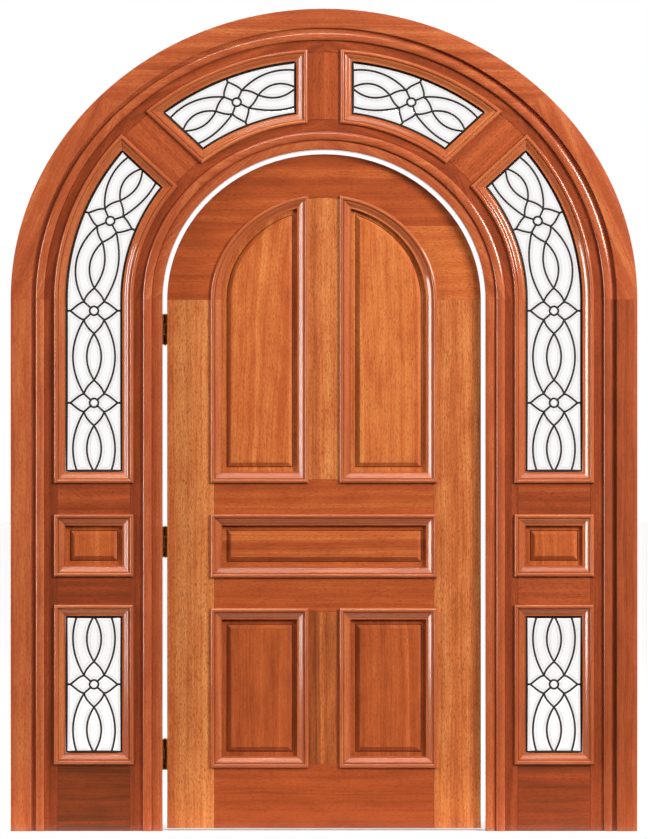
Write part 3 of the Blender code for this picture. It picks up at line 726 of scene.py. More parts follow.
        return Opening(outline, (0, 1, 2, 2 + ARC_STEPS, 3 + ARC_STEPS, 3 + 2 * ARC_STEPS))

    def transom(self) -> Opening:
        """The right transom light, from the spoke to the crown post.

        Returns:
            The opening.
        """

        def arc(radius: float, grow: float) -> list[Point]:
            """The arc of this half span between the two bars, at this growth."""
            start = self.spoke_angle + self.bar_turn(self.spoke_face, radius, grow)
            return self.arc(radius, start, math.pi / 2 - self.bar_turn(self.post_face, radius, grow))

        def outline(grow: float) -> list[Point]:
            """The outline at this growth."""
            return [*arc(self.sight_outer + grow, grow), *reversed(arc(self.sight_inner - grow, grow))]

        return Opening(outline, (0, ARC_STEPS, ARC_STEPS + 1, 2 * ARC_STEPS + 1))


# Making pieces


@dataclass(frozen=True)
class Timber:
    """How a piece was sawn from its log.

    Attributes:
        run: The angle of the grain in the door's plane, from +X.
        cut: The kind of cut.
        tone: How much lighter or darker than its neighbours the board is, about -0.2 to 0.2.
        drift: How far the pith's place strays, across and behind, as a share.
        log: The length of the log.
    """

    run: float = math.pi / 2
    cut: Cut = Cut.STRAIGHT
    tone: float = 0.0
    drift: Pair = (0.3, 0.2)
    log: float = 9.0

    def place(self, name: str) -> Vector:
        """The place in the log of the doorway's origin.

        Args:
            name: The piece's name, which seeds the draw.

        Returns:
            The place, across, through and along.
        """
        draw = random.Random(name)
        across, behind, _ = self.cut.value
        side = draw.choice((-1, 1))
        spread = [draw.uniform(1 - share, 1 + share) for share in self.drift]
        return Vector((side * across * spread[0], behind * spread[1], draw.uniform(0, self.log)))


@dataclass
class Blank:
    """Rings of points that are skinned to one or more closed solids.

    Attributes:
        mesh: The solids so far.
        along: The place in the log by point number, for a piece whose grain follows a path.
    """

    mesh: bmesh.types.BMesh = field(default_factory=bmesh.new)
    along: dict[int, Vector] = field(default_factory=dict)

    def skin(
        self,
        rings: Sequence[Sequence[Sequence[float]]],
        timber: Sequence[Sequence[Sequence[float]]] | None = None,
        finishes: Sequence[int] = (),
    ) -> Blank:
        """Adds a closed solid through rings of as many points each, capped at both ends.

        Args:
            rings: The rings.
            timber: The place in the log of each point, for a piece whose grain follows a path.
            finishes: The material number of the first cap, of each band between rings and of the last cap.

        Returns:
            The blank itself.
        """
        rows = []
        for number, ring in enumerate(rings):
            row = []
            for k, point in enumerate(ring):
                vert = self.mesh.verts.new(point)
                vert.index = len(self.mesh.verts) - 1
                if timber is not None:
                    self.along[vert.index] = Vector(timber[number][k])
                row.append(vert)
            rows.append(row)
        numbers = finishes or [0] * (len(rows) + 1)
        self.mesh.faces.new(rows[0]).material_index = numbers[0]
        for row, after, number in zip(rows, rows[1:], numbers[1:]):
            for k, vert in enumerate(row):
                m = (k + 1) % len(row)
                self.mesh.faces.new((vert, row[m], after[m], after[k])).material_index = number
        self.mesh.faces.new(rows[-1]).material_index = numbers[-1]
        return self

    def levels(self, levels: Iterable[tuple[Sequence[Point], float]], finishes: Sequence[int] = ()) -> Blank:
        """Adds a solid through outlines laid one behind another, each with its depth."""
        return self.skin([[(x, y, z) for x, z in outline] for outline, y in levels], None, finishes)

    def sawn(self, height: float, above: bool) -> Blank:
        """Saws the blank level.

        Args:
            height: The height of the cut.
            above: Whether the part above it is kept, or the part below.

        Returns:
            The blank itself.
        """
        done = bmesh.ops.bisect_plane(
            self.mesh,
            geom=[*self.mesh.verts, *self.mesh.edges, *self.mesh.faces],
            dist=SAME_POINT,
            plane_co=(0.0, 0.0, height),
            plane_no=(0.0, 0.0, 1.0),
            clear_inner=above,
            clear_outer=not above,
        )
        cut = [item for item in done["geom_cut"] if isinstance(item, bmesh.types.BMEdge)]
        bmesh.ops.holes_fill(self.mesh, edges=cut, sides=0)
        return self


@dataclass(frozen=True)
class Piece:
    """What a finished piece is: its name, body, material slot and the nodes that it stands for."""

    name: str
    body: Body
    slot: str
    nodes: tuple[str, ...] = ()

    @classmethod
    def of(cls, node: str, kind: str, body: Body, slot: str) -> Piece:
        """The piece that stands for one node, named for the node and its own kind."""
        return cls(f"{node}_{kind}", body, slot, (node,))

    def from_mesh(self, mesh: Mesh) -> None:
        """Makes the piece from its mesh: shades it, and has it ride on its body and stand for its nodes.

        Args:
            mesh: The mesh.
        """
        mesh.shade_smooth()
        mesh.set_sharp_from_angle(angle=SMOOTH_BELOW)
        obj = bpy.data.objects.new(self.name, mesh)
        bpy.context.scene.collection.objects.link(obj)
        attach(obj, self.body.value)
        if self.nodes:
            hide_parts(*self.nodes)
        LOG.info("%s: %d faces, rides on %s", self.name, len(mesh.polygons), self.body.value)

    def from_blank(self, blank: Blank, *materials: Material, timber: Timber | None = None) -> None:
        """Makes the piece from its blank.

        Args:
            blank: The blank, which is used up.
            *materials: Its finishes.
            timber: How it was sawn, for a wooden piece.
        """
        bm = blank.mesh
        bm.verts.index_update()
        bmesh.ops.recalc_face_normals(bm, faces=bm.faces)
        mesh = bpy.data.meshes.new(self.name)
        bm.to_mesh(mesh)
        bm.free()
        if timber is not None:
            lay_grain(mesh, self.name, timber, blank.along)
        for material in materials:
            mesh.materials.append(material)
        self.from_mesh(mesh)

    def from_tree(self, mesh: Mesh, tree: Tree, values: Mapping[str, object]) -> None:
        """Makes the piece with Geometry Nodes.

        Args:
            mesh: The mesh that the tree starts from.
            tree: The tree.
            values: Its inputs by name.
        """
        loose = bpy.data.objects.new(self.name, mesh)
        bpy.context.scene.collection.objects.link(loose)
        modifier = loose.modifiers.new(tree.name, "NODES")
        modifier.node_group = tree
        for item in tree.interface.items_tree:
            if item.item_type == "SOCKET" and item.in_out == "INPUT" and item.name in values:
                modifier[item.identifier] = values[item.name]
        graph = bpy.context.evaluated_depsgraph_get()
        made = bpy.data.meshes.new_from_object(loose.evaluated_get(graph))
        bpy.data.objects.remove(loose)
        made.name = self.name
        self.from_mesh(made)


def lay_grain(mesh: Mesh, name: str, timber: Timber, along: Mapping[int, Vector]) -> None:
    """Stores each point's place in the log, and the board's tone.

    Args:
        mesh: The piece's mesh.
        name: The piece's name, which seeds its place in the log.
        timber: How it was sawn.
        along: Places already known by point number, as (across, through, along).
    """
    start = timber.place(name)
    runout = timber.cut.value[2]
    run_x, run_z = math.cos(timber.run), math.sin(timber.run)
    places = np.zeros((len(mesh.vertices), 3), np.float32)
    for k, vert in enumerate(mesh.vertices):
        if k in along:
            across, through, length = along[k]
        else:
            x, through, z = vert.co
            across, length = x * run_z - z * run_x, x * run_x + z * run_z
        places[k] = (across + start.x, through + start.y + runout * length, length + start.z)
    stored = mesh.attributes.new("timber", "FLOAT_VECTOR", "POINT")
    stored.data.foreach_set("vector", places.ravel())
    tones = mesh.attributes.new("tone", "FLOAT", "POINT")
    tones.data.foreach_set("value", np.full(len(mesh.vertices), timber.tone, np.float32))


def straight(left: float, right: float, low: float, high: float, slots: Sequence[int]) -> MemberOutline:
    """The outline of a straight member.

    Args:
        left: Its left edge.
        right: Its right edge.
        low: Its foot.
        high: Its head.
        slots: 1 or 0 for whether its left, right, lower and upper edge is slotted.

    Returns:
        The outline.
    """

    def outline(depth: float, ease: float) -> list[Point]:
        """The outline with slots this deep and edges eased by this much."""
        west, east, foot, head = (slot * depth + ease for slot in slots)
        return box_corners(left + west, right - east, low + foot, high - head)

    return outline


@dataclass(frozen=True)
class RaisedPanel:
    """A panel held by its edge: a flat border, a bevel and a raised field, and a shallower field behind.

    Attributes:
        border: The width of its flat border.
        bevel: The width of its bevel.
        height: How far its field stands above its border.
        back_height: The same on its back.
        drop: The step from the field down to its ledge.
        ledge: The width of the ledge between the step and the slope.
        foot: How far the slope's foot stands above the border.
        quirk: The width and the depth of the groove at the bevel's foot.
        ease: The rounding of the field's edge.
    """

    border: float = 0.013
    bevel: float = 0.013
    height: float = 0.010
    back_height: float = 0.006
    drop: float = 0.0020
    ledge: float = 0.0016
    foot: float = 0.0004
    quirk: float = 0.0020
    ease: float = 0.0004

    def blank(self, outline: Outline, edge: float, face: float, back: float) -> Blank:
        """The panel, its quirk in the second finish, a near-black painted shade.

        Args:
            outline: The outline of the opening that it fills.
            edge: How far its edge lies out from the sight line.
            face: The depth of its border's face.
            back: The depth of its border's back.

        Returns:
            The blank.
        """
        raised, top = -self.border - self.bevel, face - self.height
        step, groove = top + self.drop, face + self.quirk
        front = (
            (raised - self.ease, top),
            (raised, top + self.ease),
            (raised, step),
            (raised + self.ledge, step),
            (-self.border - self.quirk, face - self.foot),
        )
        # The groove at the bevel's foot takes the second finish, a near-black painted shade
        painted_shade = ((-self.border - self.quirk, groove), (-self.border, groove), (-self.border, face))
        behind = (
            (edge, face),
            (edge, back),
            (-self.border, back),
            (raised, back + self.back_height - EASE / 2),
            (raised - EASE, back + self.back_height),
        )
        finishes = [0] * len(front) + [1] * len(painted_shade) + [0] * (len(behind) + 1)
        levels = [(outline(grow), depth) for grow, depth in (*front, *painted_shade, *behind)]
        return Blank().levels(levels, finishes)


@dataclass(frozen=True)
class Joinery:
    """A layer of slotted members of one thickness, the sash or the leaf, with what fills its openings.

    Attributes:
        door: The doorway.
        body: The body that it belongs to.
        front: The depth of its face.
        back: The depth of its back.
        stock: How far the tone of a strip of moulding may stray.
    """

    door: Doorway
    body: Body
    front: float
    back: float
    stock: float = 0.06

    @classmethod
    def sash(cls, door: Doorway) -> Joinery:
        """The sash's layer."""
        return cls(door, Body.FRAME, door.sash_front, door.sash_back)

    @classmethod
    def leaf(cls, door: Doorway) -> Joinery:
        """The leaf's layer, whose back is flush with the frame's."""
        return cls(door, Body.LEAF, door.leaf_front, 0.0)

    @property
    def cheeks(self) -> Pair:
        """The depths of the two sides of the slots, which are centred in the thickness."""
        middle = (self.front + self.back) / 2
        return middle - self.door.slot / 2, middle + self.door.slot / 2

    def ring_section(self, edge: float, far: float, into: int) -> tuple[Point, ...]:
        """The section of an arched member.

        Args:
            edge: The half span of its slotted edge.
            far: The half span of its other edge.
            into: 1 if it lies outwards of the slotted edge, or -1.

        Returns:
            Points of (half span, depth).
        """
        near, back = self.cheeks
        bottom = edge + into * self.door.slot_depth
        return (
            (far, self.back),
            (far, self.front + EASE),
            (far - into * EASE, self.front),
            (edge + into * EASE, self.front),
            (edge, self.front + EASE),
            (edge, near),
            (bottom, near),
            (bottom, back),
            (edge, back),
            (edge, self.back),
        )

    def build_member(
        self, piece: Piece, outline: MemberOutline, material: Material, timber: Timber
    ) -> None:
        """Builds a rail, stile, muntin or bar, its edges eased and its slots cut.

        Args:
            piece: What it becomes.
            outline: Its outline.
            material: Its finish.
            timber: How it was sawn.
        """
        near, far = self.cheeks
        full, eased = outline(0.0, 0.0), outline(0.0, EASE)
        slotted = outline(self.door.slot_depth, 0.0)
        face = ((eased, self.front), (full, self.front + EASE))
        slots = ((full, near), (slotted, near), (slotted, far), (full, far))
        back = ((full, self.back - EASE), (eased, self.back))
        piece.from_blank(Blank().levels((*face, *slots, *back)), material, timber=timber)

    def build_panel(self, node: str, opening: Opening, finishes: Finishes, timber: Timber) -> None:
        """Builds the raised panel of an opening.

        Args:
            node: The node that it stands for.
            opening: The opening.
            finishes: The finishes.
            timber: How it was sawn.
        """
        near, far = self.cheeks
        edge = self.door.mould.member + self.door.slot_depth - self.door.panel_play
        blank = RaisedPanel().blank(opening.outline, edge, near + CLEAR, far - CLEAR)
        piece = Piece.of(node, "board", self.body, "panel_wood")
        # The panel's second finish paints its quirk near-black, as painted shade
        piece.from_blank(blank, finishes.panel, finishes.quirk, timber=timber)

    def build_moulding(self, node: str, opening: Opening, material: Material) -> None:
        """Builds the mitred moulding of an opening, a strip for each run, with grain along it.

        Args:
            node: The node that its first strip stands for.
            opening: The opening.
            material: Its finish.
        """
        mould = self.door.mould
        section = mould.section(self.front - self.cheeks[0])
        for number, (start, end) in enumerate(opening.runs()):
            lines = [(opening.run(start, end, grow), self.front - height) for grow, height in section]
            spine = opening.run(start, end, mould.width / 2)
            rings, timber, length = [], [], 0.0
            for k, point in enumerate(spine):
                length += math.dist(spine[max(k - 1, 0)], point)
                rings.append([(line[k][0], depth, line[k][1]) for line, depth in lines])
                timber.append([(grow, height, length) for grow, height in section])
            name = f"{node}_strip_{number + 1}"
            piece = Piece(name, self.body, "moulding_wood", () if number else (node,))
            tone = random.Random(name).uniform(-self.stock, self.stock)
            piece.from_blank(Blank().skin(rings, timber), material, timber=Timber(tone=tone))


# The frame


@dataclass(frozen=True)
class ArchedBand:
    """A band of one section that stands on two legs and closes in an arch, jointed from boards.

    Attributes:
        name: The band's name, which its pieces' names start with.
        nodes: The nodes that it stands for.
        section: Its closed section, as (half span, depth) points.
        joints: The angles at which its arch is jointed, besides the spring line.
        slot: The material slot that it hands to its pieces.
        tones: The tones of its boards by name, where they aren't 0.
    """

    name: str
    nodes: tuple[str, ...]
    section: tuple[Point, ...]
    joints: tuple[float, ...]
    slot: str
    tones: Mapping[str, float] = field(default_factory=dict)

    def build_board(
        self, part: str, rings: list[list[Place]], material: Material, run: float = math.pi / 2
    ) -> None:
        """Builds a board, which stands for the nodes if it is the left leg.

        Args:
            part: Its name in the band.
            rings: Its rings.
            material: Its finish.
            run: The angle of its grain.
        """
        nodes = self.nodes if part == "leg_left" else ()
        piece = Piece(f"{self.name}_{part}", Body.FRAME, self.slot, nodes)
        timber = Timber(run, tone=self.tones.get(part, 0.0))
        piece.from_blank(Blank().skin(rings), material, timber=timber)

    def build(self, door: Doorway, material: Material) -> None:
        """Builds the legs and the arch boards.

        Args:
            door: The doorway.
            material: Their finish.
        """
        heights = (0.0, door.spring - CLEAR / 2)
        for side in Side:
            rings = [[(side.value * radius, y, z) for radius, y in self.section] for z in heights]
            self.build_board(f"leg_{side.word}", rings, material)
        angles = [0.0, *self.joints, math.pi]
        for k, (start, end) in enumerate(zip(angles, angles[1:])):
            (ax, az), (bx, bz) = door.arch(1.0, start), door.arch(1.0, end)
            rings = door.carried(self.section, start, end)
            self.build_board(f"arch_{k + 1}", rings, material, math.atan2(bz - az, bx - ax))


def rounded(inner: float, outer: float, base: float, crown: float, steps: int = 14) -> list[Point]:
    """A rounded face.

    Args:
        inner: The half span of its inner edge.
        outer: The half span of its outer edge.
        base: The depth of its edges.
        crown: How far its middle stands out.
        steps: Its number of flats.

    Returns:
        Points of (half span, depth), from the inner edge out.
    """
    middle, half = (inner + outer) / 2, (outer - inner) / 2
    turns = [math.pi * k / steps for k in range(steps + 1)]
    return [(middle - half * math.cos(turn), base - crown * math.sin(turn)) for turn in turns]


def rounded_arris(edge: float, front: float, radius: float, into: int, steps: int = 3) -> list[Point]:
    """A rounded arris in a section.

    Args:
        edge: The half span of the face's edge.
        front: The depth of the face.
        radius: The radius of the arris.
        into: 1 if the face lies outwards of the edge, or -1.
        steps: Its number of flats.

    Returns:
        Points of (half span, depth), outwards.
    """
    turns = [math.pi / 2 * k / steps for k in range(steps + 1)][::into]
    drawn = [(radius * (1 - math.cos(turn)), radius * (1 - math.sin(turn))) for turn in turns]
    return [(edge + into * across, front + back) for across, back in drawn]


@dataclass(frozen=True)
class DoorFrame:
    """The two arched frames: the casing with its groove and bead, and the lining with the bead beside it.

    A bead's or the lining's edges lie back from the casing's face by its setback and its crown.
    """

    door: Doorway
    groove_depth: float = 0.014
    frame_bead_setback: float = 0.0015
    frame_bead_crown: float = 0.005
    door_bead_setback: float = 0.003
    door_bead_crown: float = 0.0065
    lining_setback: float = 0.013
    lining_crown: float = 0.003
    arris: float = 0.002

    def casing_section(self) -> tuple[Point, ...]:
        """The casing, its groove, and the bead round the sash, with the shoulder that the sash rests on.

        Returns:
            Points of (half span, depth).
        """
        door, front = self.door, self.door.casing_front
        bead_edge = door.outer_sash_edge + door.frame_bead_width
        casing_inner = bead_edge + door.groove_width
        shoulder, rest = door.outer_sash_edge - door.sash_rest, door.sash_back + CLEAR
        bead_base = front + self.frame_bead_setback + self.frame_bead_crown
        return (
            (shoulder, 0.0),
            (shoulder, rest),
            (door.outer_sash_edge, rest),
            *rounded(door.outer_sash_edge, bead_edge, bead_base, self.frame_bead_crown),
            (bead_edge, front + self.groove_depth),
            (casing_inner, front + self.groove_depth),
            *rounded_arris(casing_inner, front, self.arris, 1),
            *rounded_arris(door.casing_edge, front, self.arris, -1),
            (door.casing_edge, 0.0),
        )

    def lining_section(self) -> tuple[Point, ...]:
        """The lining that the leaf closes against, its face slightly round.

        Returns:
            Points of (half span, depth).
        """
        near, far = self.door.opening_edge, self.door.opening_edge + self.door.lining_width
        base = self.door.casing_front + self.lining_setback + self.lining_crown
        return ((near, 0.0), *rounded(near, far, base, self.lining_crown), (far, 0.0))

    def door_bead_section(self) -> tuple[Point, ...]:
        """The bead between the lining and the sash, with the shoulder that the sash rests on.

        Returns:
            Points of (half span, depth).
        """
        door = self.door
        near = door.opening_edge + door.lining_width + CLEAR
        base = door.casing_front + self.door_bead_setback + self.door_bead_crown
        shoulder, rest = door.inner_sash_edge + door.sash_rest, door.sash_back + CLEAR
        return (
            (near, 0.0),
            *rounded(near, door.inner_sash_edge, base, self.door_bead_crown),
            (door.inner_sash_edge, rest),
            (shoulder, rest),
            (shoulder, 0.0),
        )

    def build(self, finishes: Finishes) -> None:
        """Builds the three bands.

        Args:
            finishes: The finishes.
        """
        joints = (EIGHTH, 3 * EIGHTH)
        tones = {"leg_right": -0.12, "leg_left": 0.03}
        bands = (
            ArchedBand("casing", ("outer_frame",), self.casing_section(), joints, "frame_wood", tones),
            ArchedBand("door_bead", ("inner_frame",), self.door_bead_section(), joints, "frame_wood"),
            ArchedBand("lining", (), self.lining_section(), (2 * EIGHTH,), "frame_wood"),
        )
        for band in bands:
            band.build(self.door, finishes.frame)


@dataclass(frozen=True)
class Sash:
    """The glazed sash: two rings with legs, the spokes and crown post between them, and the side rails.

    Its rails' tones run from the bottom up.
    """

    door: Doorway
    spoke_tone: float = 0.14
    post_tone: float = 0.11
    left_tones: Triple = (-0.17, -0.02, 0.07)
    right_tones: Triple = (-0.07, 0.13, 0.02)

    def bar_outline(self, face: float, angle: float, side: Side) -> MemberOutline:
        """The outline of a bar between the rings.

        Args:
            face: The width of its face between the mouldings.
            angle: The angle that it stands at on the right.
            side: The side that it is on.

        Returns:
            The outline.
        """
        door = self.door
        half = face / 2 + door.mould.lap
        inner = door.sight_inner - door.mould.member + CLEAR
        outer = door.sight_outer + door.mould.member - CLEAR

        def end(radius: float, drawn: float) -> list[Point]:
            """The bar's end on the arch of this half span, with its sides drawn in by this much."""
            turn = math.asin((half - drawn) / radius)
            return door.arc(radius, angle - turn, angle + turn, END_STEPS)

        def outline(depth: float, ease: float) -> list[Point]:
            """The outline with slots this deep and edges eased by this much."""
            points = [*reversed(end(inner + ease, depth + ease)), *end(outer - ease, depth + ease)]
            return points if side is Side.RIGHT else mirrored(points)

        return outline

    def build_rails(self, side: Side, tones: Iterable[float], material: Material) -> None:
        """Builds the rails of a sidelight.

        Args:
            side: The side.
            tones: Their tones, from the bottom up.
            material: Their finish.
        """
        door, work = self.door, Joinery.sash(self.door)
        inner, outer = door.sight_inner - door.mould.member, door.sight_outer + door.mould.member
        ends = side.ends(inner + CLEAR, outer - CLEAR)
        for rail, tone in zip(("bottom", "lock", "upper"), tones):
            node = f"sidelight_{rail}_rail_{side.word}"
            low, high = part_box(node)
            outline = straight(*ends, low.z, high.z, (0, 0, 0 if rail == "bottom" else 1, 1))
            piece = Piece.of(node, "board", Body.FRAME, "sash_wood")
            work.build_member(piece, outline, material, Timber(0.0, tone=tone))

    def build(self, finishes: Finishes) -> None:
        """Builds the rings, the bars and the rails.

        Args:
            finishes: The finishes.
        """
        door, work = self.door, Joinery.sash(self.door)
        inner, outer = door.sight_inner - door.mould.member, door.sight_outer + door.mould.member
        rings = (
            ("sash_outer_ring", work.ring_section(outer, door.outer_sash_edge - CLEAR, 1)),
            ("sash_inner_ring", work.ring_section(inner, door.inner_sash_edge + CLEAR, -1)),
        )
        joints = (EIGHTH, 2 * EIGHTH, 3 * EIGHTH)
        for name, section in rings:
            ArchedBand(name, (name,), section, joints, "sash_wood").build(door, finishes.sash)
        for side, tones in ((Side.LEFT, self.left_tones), (Side.RIGHT, self.right_tones)):
            outline = self.bar_outline(door.spoke_face, door.spoke_angle, side)
            run = door.spoke_angle if side is Side.RIGHT else math.pi - door.spoke_angle
            piece = Piece.of(f"spoke_{side.word}", "bar", Body.FRAME, "sash_wood")
            work.build_member(piece, outline, finishes.sash, Timber(run, tone=self.spoke_tone))
            self.build_rails(side, tones, finishes.sash)
        outline = self.bar_outline(door.post_face, math.pi / 2, Side.RIGHT)
        piece = Piece.of("crown_post", "bar", Body.FRAME, "sash_wood")
        work.build_member(piece, outline, finishes.sash, Timber(tone=self.post_tone))


# Leaded glass


@dataclass(frozen=True)
class LeadPattern:
    """The came pattern of a light: four-petalled flowers, with bows between them.

    Places are (across the light from its middle line, up it), in metres.
    """

    pitch: float = 0.268
    first: float = 0.2005
    last: float = 0.1796
    eye: float = 0.0128
    crossing: Point = (0.029, 0.026)
    top: float = 0.066
    top_handles: tuple[Point, Point] = ((0.012, 0.056), (0.026, 0.042))
    tip: float = 0.0685
    tip_handles: tuple[Point, Point] = ((0.042, 0.024), (0.0545, 0.011))
    outer_bow: float = 0.0613
    inner_bow: float = 0.021
    eye_steps: int = 5
    petal_steps: int = 8
    bow_steps: int = 18

    def row(self, low: float, high: float) -> tuple[list[float], float]:
        """The flowers that fit a light.

        Args:
            low: The light's foot.
            high: Its head.

        Returns:
            The heights of the flowers' middles, and their pitch.
        """
        span = high - self.last - low - self.first
        gaps = round(span / self.pitch)
        if gaps < 1:
            return [(low + high) / 2], self.pitch
        return [low + self.first + k * span / gaps for k in range(gaps + 1)], span / gaps

    def bow(self, start: Point, end: Point, width: float) -> list[Point]:
        """An arc up the light.

        Args:
            start: Its lower end.
            end: Its upper end, as far across the light.
            width: How far it stands out.

        Returns:
            Its points.
        """
        half, middle = (end[1] - start[1]) / 2, (start[1] + end[1]) / 2
        levels = [start[1] + (end[1] - start[1]) * k / self.bow_steps for k in range(self.bow_steps + 1)]
        return [(start[0] + (width - start[0]) * (1 - ((v - middle) / half) ** 2), v) for v in levels]

    def curve(self, a: Point, b: Point, c: Point, d: Point) -> list[Point]:
        """A cubic curve.

        Args:
            a: Its start.
            b: The start's handle.
            c: The end's handle.
            d: Its end.

        Returns:
            Its points.
        """
        points = []
        for k in range(self.petal_steps + 1):
            t = k / self.petal_steps
            row = ((1 - t) ** 3, 3 * t * (1 - t) ** 2, 3 * t * t * (1 - t), t**3)
            points.append(tuple(sum(w * p[i] for w, p in zip(row, (a, b, c, d))) for i in (0, 1)))
        return points

    def flower(self, centre: float, reach: float) -> list[list[Point]]:
        """The lines of one flower.

        Args:
            centre: The height of its middle.
            reach: How far its side stubs run, past the edge of the light.

        Returns:
            The lines.
        """
        u, v = self.crossing
        turn = math.atan2(v, u)
        corners = [-turn, turn, math.pi - turn, math.pi + turn, math.tau - turn]
        steps = range(self.eye_steps)
        eye = [a + (b - a) * k / self.eye_steps for a, b in zip(corners, corners[1:]) for k in steps]
        lines = [[(self.eye * math.cos(t), self.eye * math.sin(t)) for t in [*eye, corners[-1]]]]
        share = self.eye / math.hypot(u, v)
        top = self.curve((0, self.top), *self.top_handles, (u, v))
        tip = self.curve((u, v), *self.tip_handles, (self.tip, 0))
        for across, up in ((1, 1), (-1, 1), (1, -1), (-1, -1)):
            for line in ([(u * share, v * share), (u, v)], top, tip):
                lines.append([(across * a, up * b) for a, b in line])
        lines += [[(side * self.tip, 0), (side * reach, 0)] for side in (1, -1)]
        return [[(a, b + centre) for a, b in line] for line in lines]

    def lines(self, low: float, high: float, reach: float) -> list[list[Point]]:
        """The lines of a light.

        Args:
            low: The light's foot.
            high: Its head.
            reach: How far the flowers' side stubs run, past its edge.

        Returns:
            The lines.
        """
        u, v = self.crossing
        flowers, pitch = self.row(low, high)
        lines = []
        for centre in flowers:
            lines += self.flower(centre, reach)
        outer_spans = [(centre + v, centre + pitch - v) for centre in flowers]
        outer_spans.append((flowers[0] - pitch + v, flowers[0] - v))
        inner_ends = [low, *[c + side * self.top for c in flowers for side in (-1, 1)], high]
        inner_spans = list(zip(inner_ends[::2], inner_ends[1::2]))
        for side in (1, -1):
            lines += [self.bow((side * u, a), (side * u, b), side * self.outer_bow) for a, b in outer_spans]
            lines += [self.bow((0, a), (0, b), side * self.inner_bow) for a, b in inner_spans]
        return lines


# The sine of the turn under which two sides run straight on
STRAIGHT_ON = 0.02


def inside(point: Sequence[float], loop: Sequence[Point]) -> bool:
    """Whether a point lies within a closed loop.

    Args:
        point: The point.
        loop: The loop.

    Returns:
        Whether it does.
    """
    x, y = point
    found = False
    for (ax, ay), (bx, by) in zip(loop, [*loop[1:], loop[0]]):
        if (ay > y) != (by > y) and x < (bx - ax) * (y - ay) / (by - ay) + ax:
            found = not found
    return found


@dataclass
class Lattice:
    """The came lines of a light cut at its border, and the cells of glass between them."""

    points: list[Point]
    edges: list[tuple[int, int]]
    border: list[tuple[int, int]]
    cells: list[list[Point]]

    @classmethod
    def cut(cls, border: Sequence[Point], lines: Sequence[Sequence[Point]]) -> Lattice:
        """Cuts the lines at the border.

        Args:
            border: The border's loop.
            lines: The lines, which may run past it.

        Returns:
            The lattice.
        """
        points, edges = [], []
        for line in [[*border, border[0]], *lines]:
            start = len(points)
            points += [Vector((round(x, DIGITS), round(z, DIGITS))) for x, z in line]
            edges += [(k, k + 1) for k in range(start, len(points) - 1)]
        verts, made, faces, _, sources, _ = delaunay_2d_cdt(points, edges, [], 0, SAME_POINT)
        kept, round_it = {}, []
        for edge, ids in zip(made, sources):
            middle = (verts[edge[0]] + verts[edge[1]]) / 2
            if ids and min(ids) < len(border):
                round_it.append(tuple(edge))
            if ids and (min(ids) < len(border) or inside(middle, border)):
                kept[frozenset(edge)] = tuple(edge)
        within = [inside(sum((verts[k] for k in face), Vector((0, 0))) / 3, border) for face in faces]
        cells = cls.flood(faces, within, kept)
        loops = [[tuple(verts[k]) for k in loop] for loop in cells]
        return cls([tuple(v) for v in verts], list(kept.values()), round_it, loops)

    @staticmethod
    def flood(
        faces: Sequence[Sequence[int]], within: Sequence[bool], lines: Mapping[frozenset, tuple[int, int]]
    ) -> list[list[int]]:
        """Joins the triangles that no line parts, and gives the loop round each group.

        Args:
            faces: The triangles.
            within: Whether each lies inside the border.
            lines: The edges that part them.

        Returns:
            The loops of point numbers.
        """
        sides: dict[frozenset, list[int]] = {}
        for number, face in enumerate(faces):
            for k in range(3):
                sides.setdefault(frozenset((face[k], face[(k + 1) % 3])), []).append(number)
        seen: set[int] = set()
        cells = []
        for first in range(len(faces)):
            if first in seen or not within[first]:
                continue
            seen.add(first)
            todo, following = [first], {}
            while todo:
                face = faces[todo.pop()]
                for k in range(3):
                    a, b = face[k], face[(k + 1) % 3]
                    edge = frozenset((a, b))
                    if edge in lines:
                        following[a] = b
                        continue
                    fresh = [near for near in sides[edge] if near not in seen]
                    seen.update(fresh)
                    todo += fresh
            loop = [next(iter(following))]
            for _ in range(len(following) - 1):
                loop.append(following[loop[-1]])
            cells.append(loop)
        return cells


def drawn_in(loop: Sequence[Point], by: float) -> list[Point]:
    """A loop drawn in on every side. A side too short to be left is dropped.

    Args:
        loop: The loop, counter-clockwise.
        by: The distance.

    Returns:
        The smaller loop, of as many points or fewer.
    """
    lines = []
    for a, b in zip(loop, [*loop[1:], loop[0]]):
        run = (Vector(b) - Vector(a)).normalized()
        lines.append((Vector(a) + by * Vector((-run.y, run.x)), run))
    while len(lines) > 2:
        points = []
        for (a, run_a), (b, run_b) in zip([lines[-1], *lines[:-1]], lines):
            turn = run_a.cross(run_b)
            points.append(b if abs(turn) < STRAIGHT_ON else a + (b - a).cross(run_b) / turn * run_a)
        kept = [
            line
            for line, start, end in zip(lines, points, [*points[1:], points[0]])
            if (end - start).dot(line[1]) > 0
        ]
        if len(kept) == len(lines):
            return [tuple(point) for point in points]
        lines = kept
    return []


def nearest_on(loop: Sequence[Point], point: Point) -> Point:
    """The place on a loop that is nearest to a point.

    Args:
        loop: The loop.
        point: The point.

    Returns:
        The place.
    """
    at = Vector(point)
    best, found = math.inf, point
    for a, b in zip(loop, [*loop[1:], loop[0]]):
        start, run = Vector(a), Vector(b) - Vector(a)
        share = min(max((at - start).dot(run) / max(run.length_squared, SAME_POINT**2), 0.0), 1.0)
        place = start + share * run
        if (place - at).length < best:
            best, found = (place - at).length, tuple(place)
    return found


